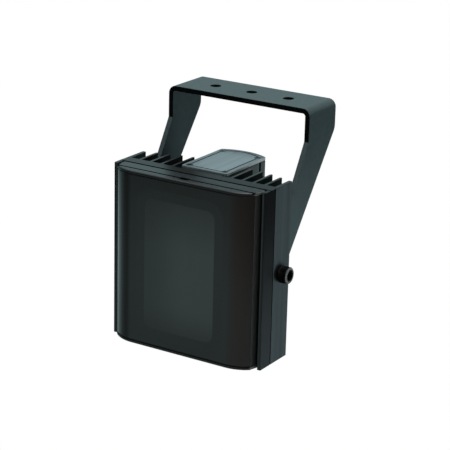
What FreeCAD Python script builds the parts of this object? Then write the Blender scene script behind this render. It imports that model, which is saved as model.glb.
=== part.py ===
import FreeCAD, Part
import math
import os

# Infrared illuminator: a finned aluminium head with a curved dark window, a power box between
# its rear fins, and a folded steel bracket that it tilts in.
# Millimetres. The origin is the centre of the bracket's mounting face, +X to the right,
# +Y to the back, +Z up. The window faces -Y.
# The head is drawn from its own corner: y from the front edge of its side walls, z from its
# bottom, and place_head moves each of its pieces to where the bracket carries it.

V = FreeCAD.Vector

# How far a cut, or a piece that is joined on, reaches past the face that it meets
OVERRUN = 1.0

# Heat sink: an extrusion with a base plate, two side walls and a comb of fins
HEAD_WIDTH = 135.0
HEAD_HEIGHT = 139.0
WALL_THICKNESS = 3.0
WALL_DEPTH = 38.2
WALL_CORNER = 0.8
WALL_GROOVE_BACK = 14.0
WALL_GROOVE_WIDTH = 0.9
WALL_GROOVE_DEPTH = 0.5
BASE_SET_BACK = 7.6
BASE_THICKNESS = 10.4
FIN_THICKNESS = 2.2
FIN_PITCH = 9.9
FIN_ARC_RADIUS = 187.0
FIN_ARC_DEPTH = 31.9
SLOT_ROOT_RADIUS = 1.0
BOX_PAD_HEIGHT = 3.0
BOX_PAD_WIDTH = 36.0

# Front cover: curved window, side rails and end caps share one outline
COVER_BULGE = 11.4
COVER_BEND_RADIUS = 27.4
COVER_END_ANGLE = 48.4
COVER_SIDE_GAP = 1.3
COVER_SHOULDER = 2.0
COVER_SHOULDER_BACK = 2.7
WINDOW_THICKNESS = 3.0
WINDOW_RECESS = 0.3

# End caps and their seals
CAP_THICKNESS = 2.2
CAP_EDGE_RADIUS = 1.4
CAP_JOINT = 0.6
CAP_RIM_DEPTH = 4.0
CAP_RIM_THICKNESS = 2.0
CAP_RIM_CLEARANCE = 0.3
CAP_RIM_END_ANGLE = 2.0
CAP_ROUNDING_SHARE = 0.8
CAP_GROOVE_BEHIND_FRONT = 6.9
CAP_GROOVE_WIDTH = 0.9
CAP_GROOVE_DEPTH = 0.6
PRY_SLOT_LENGTH = 7.6
PRY_SLOT_WIDTH = 1.8
PRY_SLOT_DEPTH = 1.4
SEAL_THICKNESS = 0.8
SEAL_WIDTH = 4.0
SEAL_RECESS = 0.6
SEAL_BEAD_BELOW_TOP = 0.9

# Side rails that hold the window's edges
RAIL_LIP_THICKNESS = 2.0
RAIL_LIP_ANGLE = 16.0
RAIL_SEAL_THICKNESS = 1.0
RAIL_WEB = 3.6
RAIL_FOOT_THICKNESS = 2.7
RAIL_FOOT_MARGIN = 0.6
RAIL_SCREW_COUNT = 3
RAIL_SCREW_MARGIN = 18.0

# Light engine behind the window
BOARD_SIDE_MARGIN = 17.2
BOARD_END_MARGIN = 13.5
BOARD_THICKNESS = 1.6
BOARD_CORNER = 3.0
LIT_SIDE_MARGIN = 14.2
LIT_END_MARGIN = 4.2
LIT_CORNER = 6.0
DIFFUSER_THICKNESS = 2.0
DIFFUSER_CLEARANCE = 0.4
DIFFUSER_BEHIND_WINDOW = 0.6
FRAME_WALL = 4.0
FRAME_LEDGE = 1.6
FRAME_EAR_SIZE = 8.0
FRAME_EAR_THICKNESS = 2.5
FRAME_EAR_INSET = 10.5
PAD_THICKNESS = 0.4
PAD_MARGIN = 2.0
EMITTER_SIZE = 3.5
EMITTER_THICKNESS = 1.0
EMITTER_LENS_RADIUS = 1.3
EMITTER_LENS_TOP_SHARE = 0.7
EMITTER_LENS_HEIGHT = 1.0
EMITTER_PITCH = 12.0

# Power box: an extruded case with a bowed back, closed by an end plate at each end
BOX_WIDTH = 40.8
BOX_DEPTH = 57.0
BOX_BOW = 5.5
BOX_WALL = 2.2
BOX_CORNER = 2.2
BOX_CORNER_LEAST = 0.4
BOX_END_OVERHANG = 1.0
BOX_PLATE_THICKNESS = 2.0
BOX_SEAL_THICKNESS = 0.7
BOX_SEAL_RECESS = 0.5
BOX_GROOVE_BACK = 48.5
BOX_GROOVE_WIDTH = 1.4
BOX_GROOVE_DEPTH = 1.0
PLATE_GROOVE_INSET = 3.4
PLATE_GROOVE_WIDTH = 1.1
PLATE_GROOVE_DEPTH = 0.4
BOX_BOSS_RADIUS = 3.0
BOX_BOSS_INSET_X = 4.4
BOX_BOSS_INSET_Y = 5.0
BOX_FIXING_END_MARGIN = 24.2

# Power parts inside the box
DRIVER_BOARD_X = -9.0
DRIVER_BOARD_THICKNESS = 1.6
DRIVER_BOARD_END_MARGIN = 10.2
DRIVER_BOARD_CLEARANCE = 0.2
DRIVER_RIB_HEIGHT = 3.0
DRIVER_RIB_WIDTH = 1.4
CAPACITOR_RADIUS = 5.0
CAPACITOR_LENGTH = 18.0
CAPACITOR_COUNT = 3
CAPACITOR_GAP = 2.0
CAPACITOR_END_MARGIN = 5.0
CAPACITOR_ROW_BACK = 14.0
COIL_RADIUS = 9.0
COIL_HOLE_RADIUS = 4.0
COIL_LENGTH = 8.0
TERMINAL_WIDTH = 20.0
TERMINAL_HEIGHT = 12.0
TERMINAL_DEPTH = 10.0
TERMINAL_POLES = 4
TERMINAL_END_MARGIN = 8.0
TERMINAL_HOLE_SHARE = 0.32

# Cable gland in the bottom end plate, with no cable in it
GLAND_BORE_RADIUS = 4.0
GLAND_THREAD_RADIUS = 8.0
GLAND_ACROSS_FLATS = 22.0
GLAND_FLANGE_HEIGHT = 5.0
GLAND_NECK_RADIUS = 7.0
GLAND_NECK_HEIGHT = 9.0
GLAND_DOME_ACROSS_FLATS = 20.0
GLAND_DOME_HEIGHT = 13.0
GLAND_DOME_ROUNDING = 2.5
GLAND_DOME_CROWN_SHARE = 1.1
GLAND_DOME_GAP = 0.5
GLAND_LOCKNUT_THICKNESS = 4.0
GLAND_SET_BACK = 30.0

# Wire way from the box to the light engine
GROMMET_RADIUS = 3.5
GROMMET_BORE_RADIUS = 2.0
GROMMET_FLANGE_RADIUS = 4.5
GROMMET_FLANGE_THICKNESS = 1.0
GROMMET_UP = 8.3

# Bracket: one strip of steel, cut with dog-leg arms and folded into a U
STRAP_THICKNESS = 4.0
STRAP_WIDTH = 41.0
STRAP_INSIDE_BEND = 2.2
BRACKET_DROP = 117.5
BRACKET_SET_BACK = 61.7
ARM_FRONT_STRAIGHT = 25.4
ARM_REAR_STRAIGHT = 22.6
ARM_EYE_RADIUS = 9.5
ARM_KNEE_RADIUS = 9.0
MOUNT_HOLE_RADIUS = 4.2
MOUNT_HOLE_SPACING = 33.0
MOUNT_HOLE_COUNT = 3

# Pivot: an M8 socket cap screw through each side wall into the arm behind it
PIVOT_SET_BACK = 26.0
PIVOT_SCREW_RADIUS = 4.0
PIVOT_RUNNING_CLEARANCE = 0.05
PIVOT_HEAD_RADIUS = 6.5
PIVOT_HEAD_HEIGHT = 7.8
PIVOT_HEAD_CHAMFER = 0.8
PIVOT_SOCKET_ACROSS_FLATS = 6.0
PIVOT_SOCKET_DEPTH = 4.5
PIVOT_WASHER_THICKNESS = 0.9
PIVOT_WASHER_RADIUS = 7.6
EYE_CLEARANCE = 1.0
EYE_RELIEF_ABOVE = 24.0

# Small screws: thread radius, head radius and head height
M3_RADIUS = 1.5
M3_HEAD_RADIUS = 2.75
M3_HEAD_HEIGHT = 1.6
M4_RADIUS = 2.0
M4_HEAD_RADIUS = 4.0
M4_HEAD_HEIGHT = 2.3
M4_NUT_ACROSS_FLATS = 7.0
M4_NUT_THICKNESS = 3.2
SCREW_HOLE_CLEARANCE = 0.2
SCREW_BITE = 4.0
TAPPED_HOLE_SPARE = 1.0
THREAD_PAST_NUT = 1.0
PAN_HEAD_ROUNDING_SHARE = 0.4
DRIVE_RADIUS = 1.1
DRIVE_SLOT_WIDTH = 0.75
DRIVE_DEPTH = 0.9

# Places worked out from the sizes above
HALF_WIDTH = HEAD_WIDTH / 2
WALL_INNER_X = HALF_WIDTH - WALL_THICKNESS
ROOT_Y = BASE_SET_BACK + BASE_THICKNESS
BOX_FRONT_Y = ROOT_Y + BOX_PAD_HEIGHT
BOX_REAR_Y = BOX_FRONT_Y + BOX_DEPTH
MID_Z = HEAD_HEIGHT / 2

COVER_SIDE_X = WALL_INNER_X - COVER_SIDE_GAP
BEND_X = COVER_SIDE_X - COVER_SHOULDER - COVER_BEND_RADIUS * math.cos(math.radians(COVER_END_ANGLE))
BEND_Y = COVER_BEND_RADIUS - COVER_BULGE
SEAL_TOP = CAP_THICKNESS + SEAL_THICKNESS
WINDOW_HEIGHT = HEAD_HEIGHT - 2 * SEAL_TOP
WINDOW_INNER_INSET = WINDOW_RECESS + WINDOW_THICKNESS

BOARD_WIDTH = 2 * (COVER_SIDE_X - BOARD_SIDE_MARGIN)
BOARD_HEIGHT = HEAD_HEIGHT - 2 * BOARD_END_MARGIN
LIT_WIDTH = BOARD_WIDTH - 2 * LIT_SIDE_MARGIN
LIT_HEIGHT = BOARD_HEIGHT - 2 * LIT_END_MARGIN
BOARD_BACK_Y = BASE_SET_BACK - PAD_THICKNESS
BOARD_FRONT_Y = BOARD_BACK_Y - BOARD_THICKNESS
DIFFUSER_FRONT_Y = WINDOW_INNER_INSET - COVER_BULGE + DIFFUSER_BEHIND_WINDOW
FRAME_FRONT_Y = DIFFUSER_FRONT_Y

BOX_BOTTOM_Z = -BOX_END_OVERHANG
BOX_TOP_Z = HEAD_HEIGHT + BOX_END_OVERHANG
BOX_SHELL_START = BOX_BOTTOM_Z + BOX_PLATE_THICKNESS + BOX_SEAL_THICKNESS
BOX_SHELL_LENGTH = BOX_TOP_Z - BOX_PLATE_THICKNESS - BOX_SEAL_THICKNESS - BOX_SHELL_START
DRIVER_BOARD_HEIGHT = BOX_SHELL_LENGTH - 2 * DRIVER_BOARD_END_MARGIN

ARM_OUTER_X = WALL_INNER_X - PIVOT_WASHER_THICKNESS
ARM_INNER_X = ARM_OUTER_X - STRAP_THICKNESS
PIVOT_Y = -BRACKET_SET_BACK
PIVOT_Z = -BRACKET_DROP
HEAD_SHIFT = V(0, PIVOT_Y - PIVOT_SET_BACK, PIVOT_Z - MID_Z)


def arc_edge(first, middle, last):
    """Circular edge through three points."""
    return Part.Arc(first, middle, last).toShape()


def line_edge(first, last):
    """Straight edge between two points."""
    return Part.makeLine(first, last)


def rounded_face(corners):
    """Flat face in the XY plane from (x, y, radius) corners, each rounded by its own radius."""
    count = len(corners)
    rounded = []
    for index in range(count):
        x, y, radius = corners[index]
        corner = V(x, y, 0)
        before = V(corners[index - 1][0], corners[index - 1][1], 0) - corner
        after = V(corners[(index + 1) % count][0], corners[(index + 1) % count][1], 0) - corner
        half_angle = before.getAngle(after) / 2
        reach = min(before.Length, after.Length) / 2
        setback = min(radius / math.tan(half_angle), reach)
        before.normalize()
        after.normalize()
        start = corner + before * setback
        end = corner + after * setback
        if setback < 1e-6:
            rounded.append((corner, None, corner))
            continue
        bisector = before + after
        bisector.normalize()
        true_radius = setback * math.tan(half_angle)
        middle = corner + bisector * (true_radius / math.sin(half_angle) - true_radius)
        rounded.append((start, middle, end))
    edges = []
    for index in range(count):
        start, middle, end = rounded[index]
        if middle is not None:
            edges.append(arc_edge(start, middle, end))
        next_start = rounded[(index + 1) % count][0]
        if (next_start - end).Length > 1e-6:
            edges.append(line_edge(end, next_start))
    return Part.Face(Part.Wire(edges))


def rectangle_corners(low_x, low_y, high_x, high_y, radius=0.0):
    """Four (x, y, radius) corners of a rectangle."""
    return [(low_x, low_y, radius), (high_x, low_y, radius),
            (high_x, high_y, radius), (low_x, high_y, radius)]


def prism(face, bottom, height):
    """Extrude a face of the XY plane upwards from a height."""
    solid = face.extrude(V(0, 0, height))
    solid.translate(V(0, 0, bottom))
    return solid


def block(low, high):
    """Box between two opposite corners."""
    size = high - low
    return Part.makeBox(size.x, size.y, size.z, low)


def from_xz(solid):
    """Turn a solid drawn in XY and extruded along Z so that its drawing plane is XZ."""
    turned = solid.copy()
    turned.rotate(V(0, 0, 0), V(1, 0, 0), 90)
    return turned


def from_yz(solid):
    """Turn a solid drawn in XY and extruded along Z so that its drawing plane is YZ."""
    turned = solid.copy()
    turned.rotate(V(0, 0, 0), V(1, 1, 1), 120)
    return turned


def mirrored(solid):
    """The same solid on the other side of the YZ plane."""
    return solid.mirror(V(0, 0, 0), V(1, 0, 0))


def flipped(solid):
    """The same head piece at the other end of the head's height."""
    return solid.mirror(V(0, 0, MID_Z), V(0, 0, 1))


def group(solids):
    """Separate solids that share one file."""
    return Part.makeCompound(solids)


def hexagon_prism(across_flats, height):
    """Hexagonal prism on the Z axis, from z = 0 up."""
    radius = across_flats / math.sqrt(3)
    corners = []
    for step in range(6):
        angle = math.radians(60 * step)
        corners.append((radius * math.cos(angle), radius * math.sin(angle), 0))
    return prism(rounded_face(corners), 0, height)


def ring(outer_radius, inner_radius, height):
    """Flat ring on the Z axis, from z = 0 up."""
    return Part.makeCylinder(outer_radius, height).cut(Part.makeCylinder(inner_radius, height))


def along_y(solid, place):
    """Turn a solid drawn along +Z so that its +Z points to the front, and move it."""
    turned = solid.copy()
    turned.rotate(V(0, 0, 0), V(1, 0, 0), 90)
    turned.translate(place)
    return turned


def drive_recess():
    """Cross recess of a small screw, cut down from z = 0."""
    half_width = DRIVE_SLOT_WIDTH / 2
    slot = block(V(-DRIVE_RADIUS, -half_width, -DRIVE_DEPTH), V(DRIVE_RADIUS, half_width, OVERRUN))
    crossed = slot.copy()
    crossed.rotate(V(0, 0, 0), V(0, 0, 1), 90)
    return slot.fuse(crossed)


def flat_head_screw(radius, head_radius, head_height, length):
    """Countersunk screw with its head's face at z = 0 and its thread pointing down."""
    head = Part.makeCone(radius, head_radius, head_height, V(0, 0, -head_height))
    thread = Part.makeCylinder(radius, length - head_height, V(0, 0, -length))
    return head.fuse(thread).removeSplitter().cut(drive_recess())


def flat_head_seat(radius, head_radius, head_height, length):
    """Hole that a countersunk screw drops into, with its mouth at z = 0."""
    head = Part.makeCone(radius, head_radius, head_height, V(0, 0, -head_height))
    hole = Part.makeCylinder(radius + SCREW_HOLE_CLEARANCE, length + OVERRUN, V(0, 0, -length))
    return head.fuse(hole)


def pan_head_screw(radius, head_radius, head_height, length):
    """Screw with a raised head that sits on z = 0 and a thread that points down."""
    head = Part.makeCylinder(head_radius, head_height)
    rim = [edge for edge in head.Edges if edge.BoundBox.ZMin > head_height / 2]
    head = head.makeFillet(head_height * PAN_HEAD_ROUNDING_SHARE, rim)
    recess = drive_recess()
    recess.translate(V(0, 0, head_height))
    thread = Part.makeCylinder(radius, length, V(0, 0, -length))
    return head.fuse(thread).cut(recess)


def cover_point(inset, angle):
    """Point on the cover's right-hand bend, by its inset and its angle ahead of +X."""
    radius = COVER_BEND_RADIUS - inset
    turn = math.radians(angle)
    return V(BEND_X + radius * math.cos(turn), BEND_Y - radius * math.sin(turn), 0)


def to_left(point):
    """Mirror a point to the left side."""
    return V(-point.x, point.y, point.z)


def cover_edges(inset, end_angle):
    """Edges along the cover's front, from its left bend to its right bend."""
    start = cover_point(inset, end_angle)
    middle = cover_point(inset, (end_angle + 90) / 2)
    flat = cover_point(inset, 90)
    return [arc_edge(to_left(start), to_left(middle), to_left(flat)),
            line_edge(to_left(flat), flat),
            arc_edge(flat, middle, start)]


def cover_band(outer_inset, inner_inset, end_angle):
    """Face between two insets of the cover's curved front."""
    outer = cover_edges(outer_inset, end_angle)
    inner = cover_edges(inner_inset, end_angle)
    outer_end = cover_point(outer_inset, end_angle)
    inner_end = cover_point(inner_inset, end_angle)
    ends = [line_edge(outer_end, inner_end), line_edge(to_left(outer_end), to_left(inner_end))]
    return Part.Face(Part.Wire(Part.__sortEdges__(outer + inner + ends)))


def cover_face(inset, rear_y):
    """Face of the cover's whole outline, closed by straight sides and a straight back."""
    end = cover_point(inset, COVER_END_ANGLE)
    shoulder = V(COVER_SIDE_X - inset, COVER_SHOULDER_BACK, 0)
    rear = V(COVER_SIDE_X - inset, rear_y, 0)
    edges = cover_edges(inset, COVER_END_ANGLE)
    edges += [line_edge(end, shoulder), line_edge(shoulder, rear), line_edge(rear, to_left(rear)),
              line_edge(to_left(rear), to_left(shoulder)), line_edge(to_left(shoulder), to_left(end))]
    return Part.Face(Part.Wire(Part.__sortEdges__(edges)))


def fin_depth(x):
    """How far back from the slot roots the fins reach at a distance from the middle."""
    return FIN_ARC_DEPTH - FIN_ARC_RADIUS + math.sqrt(FIN_ARC_RADIUS ** 2 - x ** 2)


def fin_places():
    """Distances of one side's fins from the middle, from the side wall inwards."""
    places = []
    x = HALF_WIDTH - WALL_THICKNESS / 2 - FIN_PITCH
    room = max(BOX_WIDTH, BOX_PAD_WIDTH) / 2 + FIN_THICKNESS
    while x - FIN_THICKNESS / 2 > room:
        places.append(x)
        x -= FIN_PITCH
    return places


def sink_corners():
    """Right half of the heat sink's section, from the front of its middle to its back."""
    corners = [(WALL_INNER_X, BASE_SET_BACK, SLOT_ROOT_RADIUS),
               (WALL_INNER_X, 0, WALL_CORNER / 2),
               (HALF_WIDTH, 0, WALL_CORNER / 2),
               (HALF_WIDTH, WALL_GROOVE_BACK - WALL_GROOVE_WIDTH / 2, 0),
               (HALF_WIDTH - WALL_GROOVE_DEPTH, WALL_GROOVE_BACK, 0),
               (HALF_WIDTH, WALL_GROOVE_BACK + WALL_GROOVE_WIDTH / 2, 0),
               (HALF_WIDTH, WALL_DEPTH, WALL_CORNER),
               (WALL_INNER_X, WALL_DEPTH, WALL_CORNER),
               (WALL_INNER_X, ROOT_Y, SLOT_ROOT_RADIUS)]
    for x in fin_places():
        tip = ROOT_Y + fin_depth(x)
        corners += [(x + FIN_THICKNESS / 2, ROOT_Y, SLOT_ROOT_RADIUS),
                    (x + FIN_THICKNESS / 2, tip, FIN_THICKNESS / 2),
                    (x - FIN_THICKNESS / 2, tip, FIN_THICKNESS / 2),
                    (x - FIN_THICKNESS / 2, ROOT_Y, SLOT_ROOT_RADIUS)]
    corners += [(BOX_PAD_WIDTH / 2, ROOT_Y, 0), (BOX_PAD_WIDTH / 2, BOX_FRONT_Y, 0)]
    return corners


def sink_face():
    """The heat sink's whole section."""
    right = sink_corners()
    left = [(-x, y, radius) for x, y, radius in reversed(right)]
    return rounded_face(right + left)


def eye_relief():
    """Pocket milled in the right outer slot, so that the bracket's round end can turn there."""
    outer_fin_x = fin_places()[0] + FIN_THICKNESS / 2
    front = min(PIVOT_SET_BACK - ARM_EYE_RADIUS - EYE_CLEARANCE, ROOT_Y)
    return block(V(outer_fin_x, front, MID_Z - ARM_EYE_RADIUS - EYE_CLEARANCE),
                 V(WALL_INNER_X, ROOT_Y + SLOT_ROOT_RADIUS, MID_Z + EYE_RELIEF_ABOVE))


def pivot_hole():
    """Running hole for a pivot screw through the right side wall."""
    radius = PIVOT_SCREW_RADIUS + PIVOT_RUNNING_CLEARANCE
    start = V(WALL_INNER_X - OVERRUN, PIVOT_SET_BACK, MID_Z)
    return Part.makeCylinder(radius, WALL_THICKNESS + 2 * OVERRUN, start, V(1, 0, 0))


def board_screw_places():
    """Middles of the light engine's four screws, in X and Z."""
    x = LIT_WIDTH / 2 + FRAME_WALL + FRAME_EAR_SIZE / 2
    reach = LIT_HEIGHT / 2 - FRAME_EAR_INSET
    return [(side * x, MID_Z + end * reach) for side in (-1, 1) for end in (-1, 1)]


def rail_screw_x():
    """Distance of the rail screws from the middle, clear of the web that leans over them."""
    lip_end = cover_point(rail_lip_insets()[1], COVER_END_ANGLE)
    web_x = min(COVER_SIDE_X - WINDOW_RECESS - RAIL_WEB, lip_end.x)
    return web_x - M3_HEAD_RADIUS - SCREW_HOLE_CLEARANCE


def rail_screw_heights():
    """Heights of one rail's screws."""
    span = WINDOW_HEIGHT - 2 * RAIL_SCREW_MARGIN
    low = SEAL_TOP + RAIL_SCREW_MARGIN
    return [low + span * step / (RAIL_SCREW_COUNT - 1) for step in range(RAIL_SCREW_COUNT)]


def rail_screw_places():
    """Middles of all rail screws, in X and Z."""
    return [(side * rail_screw_x(), height) for side in (-1, 1) for height in rail_screw_heights()]


def box_fixing_heights():
    """Heights of the screws that hold the box to the base plate."""
    reach = BOX_SHELL_LENGTH / 2 - BOX_FIXING_END_MARGIN
    return [MID_Z - reach, MID_Z + reach]


def box_fixing_length():
    """Screw length through base plate, pad, box wall and nut."""
    return BASE_THICKNESS + BOX_PAD_HEIGHT + BOX_WALL + M4_NUT_THICKNESS + THREAD_PAST_NUT


def heat_sink():
    """Extruded heat sink with its milled pockets and holes."""
    sink = prism(sink_face(), 0, HEAD_HEIGHT)
    relief = eye_relief()
    hole = pivot_hole()
    cuts = [relief, mirrored(relief), hole, mirrored(hole)]
    tapped_depth = SCREW_BITE + TAPPED_HOLE_SPARE
    tapped = Part.makeCylinder(M3_RADIUS, tapped_depth)
    for x, z in board_screw_places() + rail_screw_places():
        cuts.append(along_y(tapped, V(x, BASE_SET_BACK + tapped_depth, z)))
    seat = flat_head_seat(M4_RADIUS, M4_HEAD_RADIUS, M4_HEAD_HEIGHT, BASE_THICKNESS + BOX_PAD_HEIGHT)
    for z in box_fixing_heights():
        cuts.append(along_y(seat, V(0, BASE_SET_BACK, z)))
    wire_way = Part.makeCylinder(GROMMET_RADIUS, BASE_THICKNESS + BOX_PAD_HEIGHT)
    cuts.append(along_y(wire_way, V(0, BOX_FRONT_Y, GROMMET_UP)))
    for cut in cuts:
        sink = sink.cut(cut)
    return sink


def front_window():
    """Dark curved window, bent at both sides."""
    return prism(cover_band(WINDOW_RECESS, WINDOW_INNER_INSET, COVER_END_ANGLE), SEAL_TOP, WINDOW_HEIGHT)


def rail_lip_insets():
    """Insets of the lip's two faces, behind the window and its side seal."""
    front = WINDOW_INNER_INSET + RAIL_SEAL_THICKNESS
    return front, front + RAIL_LIP_THICKNESS


def window_rail():
    """Right-hand rail: it carries on the cover's side, backs the window's edge and has a foot."""
    lip_front, lip_back = rail_lip_insets()
    side = COVER_SIDE_X - WINDOW_RECESS
    foot_front = BASE_SET_BACK - RAIL_FOOT_THICKNESS
    outer_end = cover_point(WINDOW_RECESS, COVER_END_ANGLE)
    front_end = cover_point(lip_front, COVER_END_ANGLE)
    front_tip = cover_point(lip_front, COVER_END_ANGLE + RAIL_LIP_ANGLE)
    back_tip = cover_point(lip_back, COVER_END_ANGLE + RAIL_LIP_ANGLE)
    back_end = cover_point(lip_back, COVER_END_ANGLE)
    half_turn = COVER_END_ANGLE + RAIL_LIP_ANGLE / 2
    foot_end = rail_screw_x() - M3_HEAD_RADIUS - RAIL_FOOT_MARGIN
    path = [outer_end, V(side, COVER_SHOULDER_BACK, 0), V(side, BASE_SET_BACK, 0),
            V(foot_end, BASE_SET_BACK, 0), V(foot_end, foot_front, 0), V(side - RAIL_WEB, foot_front, 0),
            back_end]
    edges = [line_edge(path[step], path[step + 1]) for step in range(len(path) - 1)]
    edges += [arc_edge(back_end, cover_point(lip_back, half_turn), back_tip),
              line_edge(back_tip, front_tip),
              arc_edge(front_tip, cover_point(lip_front, half_turn), front_end),
              line_edge(front_end, outer_end)]
    rail = prism(Part.Face(Part.Wire(edges)), SEAL_TOP, WINDOW_HEIGHT)
    hole = Part.makeCylinder(M3_RADIUS + SCREW_HOLE_CLEARANCE, RAIL_FOOT_THICKNESS + 2 * OVERRUN)
    for z in rail_screw_heights():
        rail = rail.cut(along_y(hole, V(rail_screw_x(), BASE_SET_BACK + OVERRUN, z)))
    return rail


def window_side_seals():
    """Rubber strips between the window's edges and the rails' lips."""
    first = cover_point(WINDOW_INNER_INSET, COVER_END_ANGLE)
    tip = cover_point(WINDOW_INNER_INSET, COVER_END_ANGLE + RAIL_LIP_ANGLE)
    lip_front = rail_lip_insets()[0]
    half_turn = COVER_END_ANGLE + RAIL_LIP_ANGLE / 2
    far_tip = cover_point(lip_front, COVER_END_ANGLE + RAIL_LIP_ANGLE)
    far = cover_point(lip_front, COVER_END_ANGLE)
    edges = [arc_edge(first, cover_point(WINDOW_INNER_INSET, half_turn), tip), line_edge(tip, far_tip),
             arc_edge(far_tip, cover_point(lip_front, half_turn), far), line_edge(far, first)]
    strip = prism(Part.Face(Part.Wire(edges)), SEAL_TOP, WINDOW_HEIGHT)
    return group([strip, mirrored(strip)])


def rail_screws():
    """Screws that hold both rails to the base plate."""
    screw = pan_head_screw(M3_RADIUS, M3_HEAD_RADIUS, M3_HEAD_HEIGHT, RAIL_FOOT_THICKNESS + SCREW_BITE)
    foot_front = BASE_SET_BACK - RAIL_FOOT_THICKNESS
    return group([along_y(screw, V(x, foot_front, z)) for x, z in rail_screw_places()])


def cap_groove():
    """Shallow straight groove across a cap's face, from one bend to the other."""
    y = CAP_GROOVE_BEHIND_FRONT - COVER_BULGE
    return block(V(-HALF_WIDTH, y - CAP_GROOVE_WIDTH / 2, HEAD_HEIGHT - CAP_GROOVE_DEPTH),
                 V(HALF_WIDTH, y + CAP_GROOVE_WIDTH / 2, HEAD_HEIGHT + OVERRUN))


def pry_slot():
    """Short slot in the middle of the groove, for a blade that lifts the cap."""
    y = CAP_GROOVE_BEHIND_FRONT - COVER_BULGE
    corners = rectangle_corners(-PRY_SLOT_LENGTH / 2, y - PRY_SLOT_WIDTH / 2,
                                PRY_SLOT_LENGTH / 2, y + PRY_SLOT_WIDTH / 2, PRY_SLOT_WIDTH / 2)
    return prism(rounded_face(corners), HEAD_HEIGHT - PRY_SLOT_DEPTH, PRY_SLOT_DEPTH)


def cap_rim_face():
    """Section of a cap's rim, which stands inside the window and ends short of the rails' lips."""
    outer = WINDOW_INNER_INSET + CAP_RIM_CLEARANCE
    return cover_band(outer, outer + CAP_RIM_THICKNESS, COVER_END_ANGLE + RAIL_LIP_ANGLE + CAP_RIM_END_ANGLE)


def top_cap():
    """Upper end cap: a plate with a rounded edge, a rim inside the window and a groove."""
    plate = prism(cover_face(0, BASE_SET_BACK - CAP_JOINT), HEAD_HEIGHT - CAP_THICKNESS, CAP_THICKNESS)
    edges = []
    for edge in plate.Edges:
        box = edge.BoundBox
        on_top = box.ZMin > HEAD_HEIGHT - CAP_THICKNESS / 2
        at_back = box.YMin > BASE_SET_BACK - CAP_JOINT - 0.01
        if on_top and not at_back:
            edges.append(edge)
    plate = plate.makeFillet(min(CAP_EDGE_RADIUS, CAP_THICKNESS * CAP_ROUNDING_SHARE), edges)
    rim_height = CAP_RIM_DEPTH + SEAL_THICKNESS
    rim = prism(cap_rim_face(), HEAD_HEIGHT - CAP_THICKNESS - rim_height, rim_height)
    return plate.fuse(rim).cut(cap_groove()).cut(pry_slot()).removeSplitter()


def top_cap_seal():
    """Rubber seal under the upper cap, with a bead in the joint at the base plate."""
    rear = BASE_SET_BACK - CAP_JOINT
    low = HEAD_HEIGHT - SEAL_TOP
    outer = prism(cover_face(SEAL_RECESS, BASE_SET_BACK), low, SEAL_THICKNESS)
    opening_inset = max(SEAL_RECESS + SEAL_WIDTH, WINDOW_INNER_INSET + CAP_RIM_CLEARANCE)
    opening = prism(cover_face(opening_inset, rear - SEAL_WIDTH), low, SEAL_THICKNESS)
    rim = prism(cap_rim_face(), low, SEAL_THICKNESS)
    sheet = outer.cut(opening).cut(rim)
    half_bead = COVER_SIDE_X - SEAL_RECESS
    bead = block(V(-half_bead, rear, low), V(half_bead, BASE_SET_BACK, HEAD_HEIGHT - SEAL_BEAD_BELOW_TOP))
    return sheet.fuse(bead).removeSplitter()


def thermal_pad():
    """Thin pad between the board and the base plate."""
    half_width = BOARD_WIDTH / 2 - PAD_MARGIN
    half_height = BOARD_HEIGHT / 2 - PAD_MARGIN
    pad = block(V(-half_width, BOARD_BACK_Y, MID_Z - half_height),
                V(half_width, BASE_SET_BACK, MID_Z + half_height))
    return cut_screw_holes(pad, M3_RADIUS + 2 * SCREW_HOLE_CLEARANCE)


def cut_screw_holes(piece, radius):
    """Cut the light engine's four screw holes through a piece."""
    hole = Part.makeCylinder(radius, BASE_SET_BACK - FRAME_FRONT_Y)
    for x, z in board_screw_places():
        piece = piece.cut(along_y(hole, V(x, BASE_SET_BACK, z)))
    return piece


def facing_prism(corners, rear_y, depth):
    """Prism drawn in X and in Z from mid height, with its back at rear_y, reaching forwards."""
    return along_y(prism(rounded_face(corners), 0, depth), V(0, rear_y, MID_Z))


def led_board():
    """Metal-cored board behind the lit field."""
    half_x = BOARD_WIDTH / 2
    half_z = BOARD_HEIGHT / 2
    corners = rectangle_corners(-half_x, -half_z, half_x, half_z, BOARD_CORNER)
    board = facing_prism(corners, BOARD_BACK_Y, BOARD_THICKNESS)
    return cut_screw_holes(board, M3_RADIUS + SCREW_HOLE_CLEARANCE)


def centred_steps(extent):
    """Emitter positions along one side of the lit field."""
    count = int((extent - 2 * FRAME_LEDGE - EMITTER_SIZE) / EMITTER_PITCH) + 1
    return [(step - (count - 1) / 2) * EMITTER_PITCH for step in range(count)]


def led_emitters():
    """Grid of infrared emitters, each with its lens."""
    half = EMITTER_SIZE / 2
    base = block(V(-half, -half, 0), V(half, half, EMITTER_THICKNESS))
    lens = Part.makeCone(EMITTER_LENS_RADIUS, EMITTER_LENS_RADIUS * EMITTER_LENS_TOP_SHARE,
                         EMITTER_LENS_HEIGHT, V(0, 0, EMITTER_THICKNESS))
    emitter = base.fuse(lens)
    solids = []
    for x in centred_steps(LIT_WIDTH):
        for z in centred_steps(LIT_HEIGHT):
            solids.append(along_y(emitter, V(x, BOARD_FRONT_Y, MID_Z + z)))
    return group(solids)


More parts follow.
